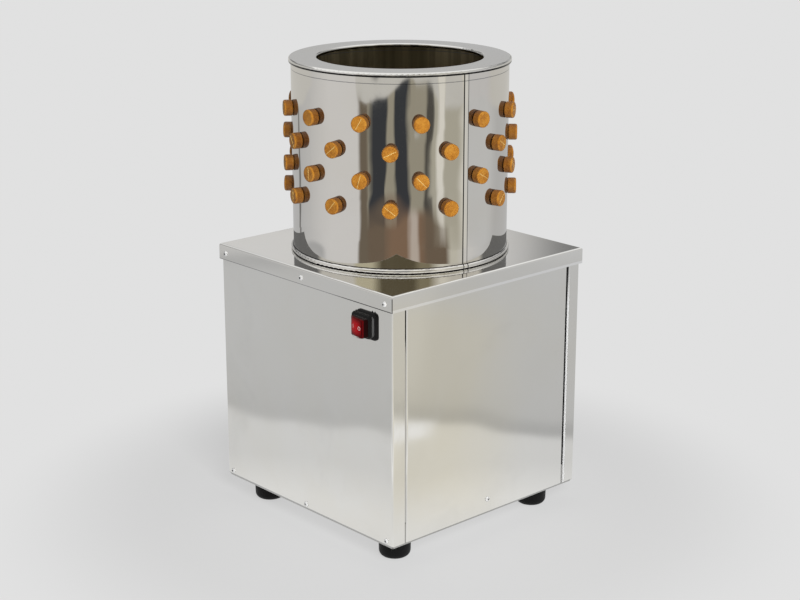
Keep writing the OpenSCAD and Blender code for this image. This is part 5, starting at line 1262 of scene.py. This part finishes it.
# %% [markdown]
# The two marks are the plain bar and ring for on and off. They could be drawn in the finish. As thin pieces
# that stand a hair proud they keep a sharp edge from close by, and each is tipped to lie along the crown.
# Two round stubs carry the rocker, and the whole is turned to its rest position about them.

# %% Rocker marks, pivots and tilt
BAR_X, RING_X, MARK_LIFT, MARK_T = -7.0, 7.2, 0.12, 0.5
RING_IN, RING_OUT, STUB_R, STUB_END = 1.7, 2.7, 1.5, 16.6


def on_crown(x):
    lean = math.asin(x / CROWN_R)
    height = crown_lift - CROWN_R * (1 - math.cos(lean)) + MARK_LIFT
    return Matrix.Translation((x * MM, 0, height * MM)) @ Matrix.Rotation(lean, 4, "Y")


bar = dress(block("bar_mark", (1.1, 5.4, MARK_T), (0, 0, -MARK_T / 2), 0.12), mark_white)
ring_outline = [(RING_IN, -MARK_T), (RING_IN, -0.1), (RING_IN + 0.15, 0), (RING_OUT - 0.15, 0),
                (RING_OUT, -0.1), (RING_OUT, -MARK_T), (RING_IN, -MARK_T)]
ring = dress(turned("ring_mark", ring_outline, 28), mark_white)
stub_outline = [(0, -STUB_END), (STUB_R - 0.3, -STUB_END), (STUB_R, -STUB_END + 0.3),
                (STUB_R, STUB_END - 0.3), (STUB_R - 0.3, STUB_END), (0, STUB_END)]
stub = dress(turned("pivot_stub", stub_outline, 20), lit_red)
bar.matrix_world = on_crown(BAR_X)
ring.matrix_world = on_crown(RING_X)
stub.rotation_euler = (math.radians(90), 0, 0)
bpy.context.view_layer.update()
pivot_place = (Matrix.Translation(PIVOT)
               @ Matrix.Rotation(math.radians(REST_TILT), 4, "Z")
               @ Matrix.Rotation(math.radians(90), 4, "X"))
rocker_parts = [rocker, bar, ring, stub]
for part in rocker_parts:
    part.matrix_world = pivot_place @ part.matrix_world
rocker_cap = joined("rocker_cap", rocker_parts)
hand_over(rocker_cap, "rocker", "switch_rocker")
rocker_cap.visible_glossy = False

# %% [markdown]
# The sheets are held by pan-head screws. The head is turned with a low dome, and a driver's cross is cut
# into it with two tapered wedges, as the punch does. Painted crosses look flat from close by, so a Boolean
# makes a real recess, and its deep faces get a black finish as painted shade.

# %% One panel screw
SCREW_HEAD_R, SCREW_HEAD_H, SCREW_R, SCREW_LEN = 3.6, 2.4, 2.0, 8.0
CROSS_R, CROSS_LOW, CROSS_HIGH = 2.7, 0.5, 1.9
screw_outline = [(0, -SCREW_LEN), (SCREW_R - 0.6, -SCREW_LEN), (SCREW_R, -SCREW_LEN + 0.8), (SCREW_R, 0),
                 (SCREW_HEAD_R - 0.1, 0), (SCREW_HEAD_R, 0.2), (SCREW_HEAD_R, 0.8), (3.35, 1.4), (2.8, 1.95),
                 (1.9, 2.28), (0.9, SCREW_HEAD_H - 0.02), (0, SCREW_HEAD_H)]
screw = turned("screw", screw_outline, 32)
cross = []
for turn in (0, 90):
    wedge = lofted("wedge", 0.2, [(0.7, 1.4, 0.5), (3.0, 4.6, 1.25)], 2)
    wedge.rotation_euler = (0, 0, math.radians(turn))
    cross.append(wedge)
cutter = clean(joined("driver_cross", cross))
deselect()
screw.select_set(True)
bpy.context.view_layer.objects.active = screw
recess = screw.modifiers.new("recess", "BOOLEAN")
recess.operation = "DIFFERENCE"
recess.use_self = True
recess.object = cutter
bpy.ops.object.modifier_apply(modifier="recess")
dress(clean(screw), screw_steel, black_rubber)
# The recess's deep faces get a black finish as painted shade.
for face in screw.data.polygons:
    if face.center.xy.length < CROSS_R * MM and CROSS_LOW * MM < face.center.z < CROSS_HIGH * MM:
        face.material_index = 1
print("screw faces", len(screw.data.polygons))

# %% [markdown]
# The screws sit along the cover's lip and the panels' feet, one at the foot of each side panel, and four in
# the spout's wings. Their places follow from the boxes of the sheets, so they move with them. Nobody stops
# every driver at the same angle, so each screw is turned at random.

# %% Where the screws sit
cover_low, cover_high = [Vector(c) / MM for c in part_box("top_cover")]
body_low, body_high = [Vector(c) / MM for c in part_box("front_panel")]
rear_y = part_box("rear_panel")[1][1] / MM
spout_low, spout_high = [Vector(c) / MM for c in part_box("outlet_spout")]
PAN_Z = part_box("bottom_pan")[0][2] / MM
SCREW_INSET, LIP_DROP, FOOT_UP, SIDE_UP = 12.0, 13.0, 10.0, 23.0
SPOUT_SHEET, SPOUT_SCREW_X, SPOUT_SCREW_SHARES = 1.5, 128.25, (0.2, 0.8)
ends = body_high.x - SCREW_INSET
facing_front = Matrix.Rotation(math.radians(90), 4, "X")
facing_rear = Matrix.Rotation(math.radians(-90), 4, "X")
facing_right = Matrix.Rotation(math.radians(90), 4, "Y")
facing_left = Matrix.Rotation(math.radians(-90), 4, "Y")
places = []
for x in (-ends, 0, ends):
    places.append(((x, cover_low.y, cover_high.z - LIP_DROP), facing_front))
    places.append(((x, cover_high.y, cover_high.z - LIP_DROP), facing_rear))
    places.append(((x, body_low.y, PAN_Z + FOOT_UP), facing_front))
    places.append(((x, rear_y, PAN_Z + FOOT_UP), facing_rear))
places.append(((body_high.x, 0, PAN_Z + SIDE_UP), facing_right))
places.append(((body_low.x, 0, PAN_Z + SIDE_UP), facing_left))
spout_inside = spout_high.z - spout_low.z - 2 * SPOUT_SHEET
for x in (-SPOUT_SCREW_X, SPOUT_SCREW_X):
    for share in SPOUT_SCREW_SHARES:
        height = spout_low.z + SPOUT_SHEET + share * spout_inside
        places.append(((x, rear_y + SPOUT_SHEET, height), facing_rear))
items = []
for place, facing in places:
    spun = Matrix.Rotation(random.uniform(0, math.pi), 4, "Z")
    items.append(copy_of(screw, Matrix.Translation(Vector(place) * MM) @ facing @ spun))
hand_over(joined("screw_set", items), "cabinet", "panel_screws")
scrap(screw, cutter)

# %% [markdown]
# A rubber foot is moulded with a soft lower edge and a slight taper, so that it leaves its mould. The
# bolt's head sits in a recess below. The foot is round, so its section is drawn once, spun and copied.

# %% Feet
foot_high = Vector(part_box("rubber_feet")[1]) / MM
FOOT_R, FOOT_H, FOOT_ROUND, FOOT_X, FOOT_Y = 22.4, foot_high.z, 8.0, 137.0, 135.0
RECESS_R, RECESS, BOLT_HOLE_R = 8.8, 18.0, 4.1
foot_outline = [(BOLT_HOLE_R, RECESS), (RECESS_R, RECESS), (RECESS_R, 0.6), (RECESS_R + 0.6, 0)]
foot_outline += arc(FOOT_R - 0.5 - FOOT_ROUND, FOOT_ROUND, FOOT_ROUND, -90, 0, 6)
foot_outline += [(FOOT_R, FOOT_H - 4.0), (FOOT_R, FOOT_H - 0.8), (FOOT_R - 0.8, FOOT_H),
                 (BOLT_HOLE_R, FOOT_H), (BOLT_HOLE_R, RECESS)]
foot = turned("foot", foot_outline, 56)
items = [copy_of(foot, Matrix.Translation((x * MM, y * MM, 0)))
         for x in (-FOOT_X, FOOT_X) for y in (-FOOT_Y, FOOT_Y)]
hand_over(dress(joined("foot_set", items), black_rubber), "cabinet", "rubber_feet")
scrap(foot)

# %% [markdown]
# At the front, each side sheet's edge is rolled over a wire. The roll starts above the pan's upturned edge,
# fills the open joint for most of its height and ends in a point. Above it the joint stays open and dark. A
# bevel on the sheet would change the CAD piece, so the roll is a thin turned rod of its own.

# %% Rolled edges in the front joints
ROLL_R, ROLL_FROM, ROLL_TO, ROLL_TIP = 1.35, 66.0, 300.0, 325.0
joint_y = (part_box("front_panel")[1][1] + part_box("right_panel")[0][1]) / 2 / MM
roll_outline = [(0, ROLL_FROM), (ROLL_R - 0.4, ROLL_FROM), (ROLL_R, ROLL_FROM + 0.6), (ROLL_R, ROLL_TO),
                (ROLL_R - 0.5, (ROLL_TO + ROLL_TIP) / 2), (0, ROLL_TIP)]
roll = turned("roll", roll_outline, 20)
roll_x = body_high.x - ROLL_R - 0.3
items = [copy_of(roll, Matrix.Translation((x * MM, joint_y * MM, 0))) for x in (-roll_x, roll_x)]
hand_over(dress(joined("edge_rolls", items), inner_steel), "cabinet")
scrap(roll)

# %% [markdown]
# On the rear, the feathers leave through a folded spout. Its free edge is rolled over, so that it doesn't
# cut. Sheet is often modelled flat and given its thickness by a modifier. Here one loft goes out along the
# outer wall, round the roll and back along the inner one, and a bridge closes the root. That way the roll
# has its own shape.

# %% Spout
SPOUT_FLANGE = 15.0
SPOUT_ROLL = ((-3.0, 1.0), (-2.4, 1.7), (-1.6, 2.0), (-0.8, 1.7), (-0.2, 0.9), (0.0, -0.4))
spout_out = spout_high.y - rear_y
sleeve_w = spout_high.x - spout_low.x - 2 * SPOUT_FLANGE
sleeve_h = spout_inside + 2 * SPOUT_SHEET
inner_w = sleeve_w - 2 * SPOUT_SHEET
stations = [(0, sleeve_w, sleeve_h), (spout_out - 3.2, sleeve_w, sleeve_h)]
for out, grow in SPOUT_ROLL:
    stations.append((spout_out + out, sleeve_w + grow, sleeve_h + grow))
stations += [(spout_out - 0.6, inner_w, spout_inside), (0.0, inner_w, spout_inside)]
sleeve = lofted("sleeve", 1.0, stations, 4)
pick_faces(sleeve, lambda face: abs(face.normal.z) > 0.99 and len(face.vertices) > 4)
bpy.ops.mesh.delete(type="ONLY_FACE")
bpy.ops.mesh.select_mode(type="EDGE")
bpy.ops.mesh.select_all(action="DESELECT")
bpy.ops.mesh.select_non_manifold()
bpy.ops.mesh.bridge_edge_loops()
clean(sleeve)
wing_x = sleeve_w / 2 + SPOUT_FLANGE / 2 - 0.2
wing_size = (SPOUT_FLANGE + 0.4, sleeve_h, SPOUT_SHEET)
wings = [block("wing", wing_size, (side * wing_x, 0, SPOUT_SHEET / 2), 0.4) for side in (-1, 1)]
spout_middle = Vector((0, rear_y, (spout_low.z + spout_high.z) / 2)) * MM
for part in [sleeve, *wings]:
    part.matrix_world = Matrix.Translation(spout_middle) @ facing_rear @ part.matrix_world
hand_over(dress(joined("spout_sheet", [sleeve, *wings]), inner_steel), "cabinet", "outlet_spout")

# %% [markdown]
# The supply cord would come in through a plastic gland: a hexagon against the sheet, a ribbed cap that
# squeezes the cord's seal, and a nut inside. A spin in six steps is a hexagon, and one in many steps is a
# round cap, so all three are turned. The ribs are one small block, copied round.

# %% Cable gland
GLAND_X, GLAND_Z, GLAND_RIBS = 105.0, 88.0, 14
HEX_R, HEX_H, CAP_R, CAP_END, GLAND_OUT, GLAND_IN = 12.0, 6.0, 9.6, 17.0, 22.0, 10.2
BORE_R, THREAD_R, NUT_FROM, NUT_TO = 4.5, 8.0, -6.2, -1.2
hexagon_outline = [(THREAD_R, 0), (HEX_R, 0), (HEX_R, HEX_H - 0.8), (HEX_R - 0.8, HEX_H),
                   (THREAD_R, HEX_H), (THREAD_R, 0)]
cap_outline = [(BORE_R, -GLAND_IN), (THREAD_R - 0.6, -GLAND_IN), (THREAD_R, -GLAND_IN + 0.8),
               (THREAD_R, HEX_H - 0.2), (CAP_R, HEX_H - 0.2), (CAP_R, CAP_END),
               (CAP_R - 0.8, CAP_END + 1.6), (BORE_R + 2.2, GLAND_OUT - 0.4), (BORE_R + 1.4, GLAND_OUT),
               (BORE_R + 0.4, GLAND_OUT), (BORE_R, GLAND_OUT - 0.6), (BORE_R, -GLAND_IN)]
nut_outline = [(THREAD_R + 0.05, NUT_FROM), (HEX_R - 0.6, NUT_FROM), (HEX_R, NUT_FROM + 0.6),
               (HEX_R, NUT_TO), (THREAD_R + 0.05, NUT_TO), (THREAD_R + 0.05, NUT_FROM)]
hexagon = turned("gland_hex", hexagon_outline, 6)
cap = turned("gland_cap", cap_outline, 48)
nut = turned("gland_nut", nut_outline, 6)
rib = block("gland_rib", (0.9, 1.5, CAP_END - HEX_H - 2.0), (CAP_R, 0, (CAP_END + HEX_H) / 2), 0.3)
ribs = [copy_of(rib, Matrix.Rotation(2 * math.pi * i / GLAND_RIBS, 4, "Z")) for i in range(GLAND_RIBS)]
gland_parts = [cap, hexagon, nut, *ribs]
gland_place = Matrix.Translation(Vector((GLAND_X, rear_y, GLAND_Z)) * MM) @ facing_rear
for part in gland_parts:
    part.matrix_world = gland_place @ part.matrix_world
hand_over(dress(joined("gland_set", gland_parts), black_plastic), "cabinet", "cable_gland")
scrap(rib)

# %% [markdown]
# The visual model must stay inside the CAD model's box, because the CAD model holds the sizes.

# %% Sizes, and the end
print("boxes written for", len(nodes_of_frame), "nodes")
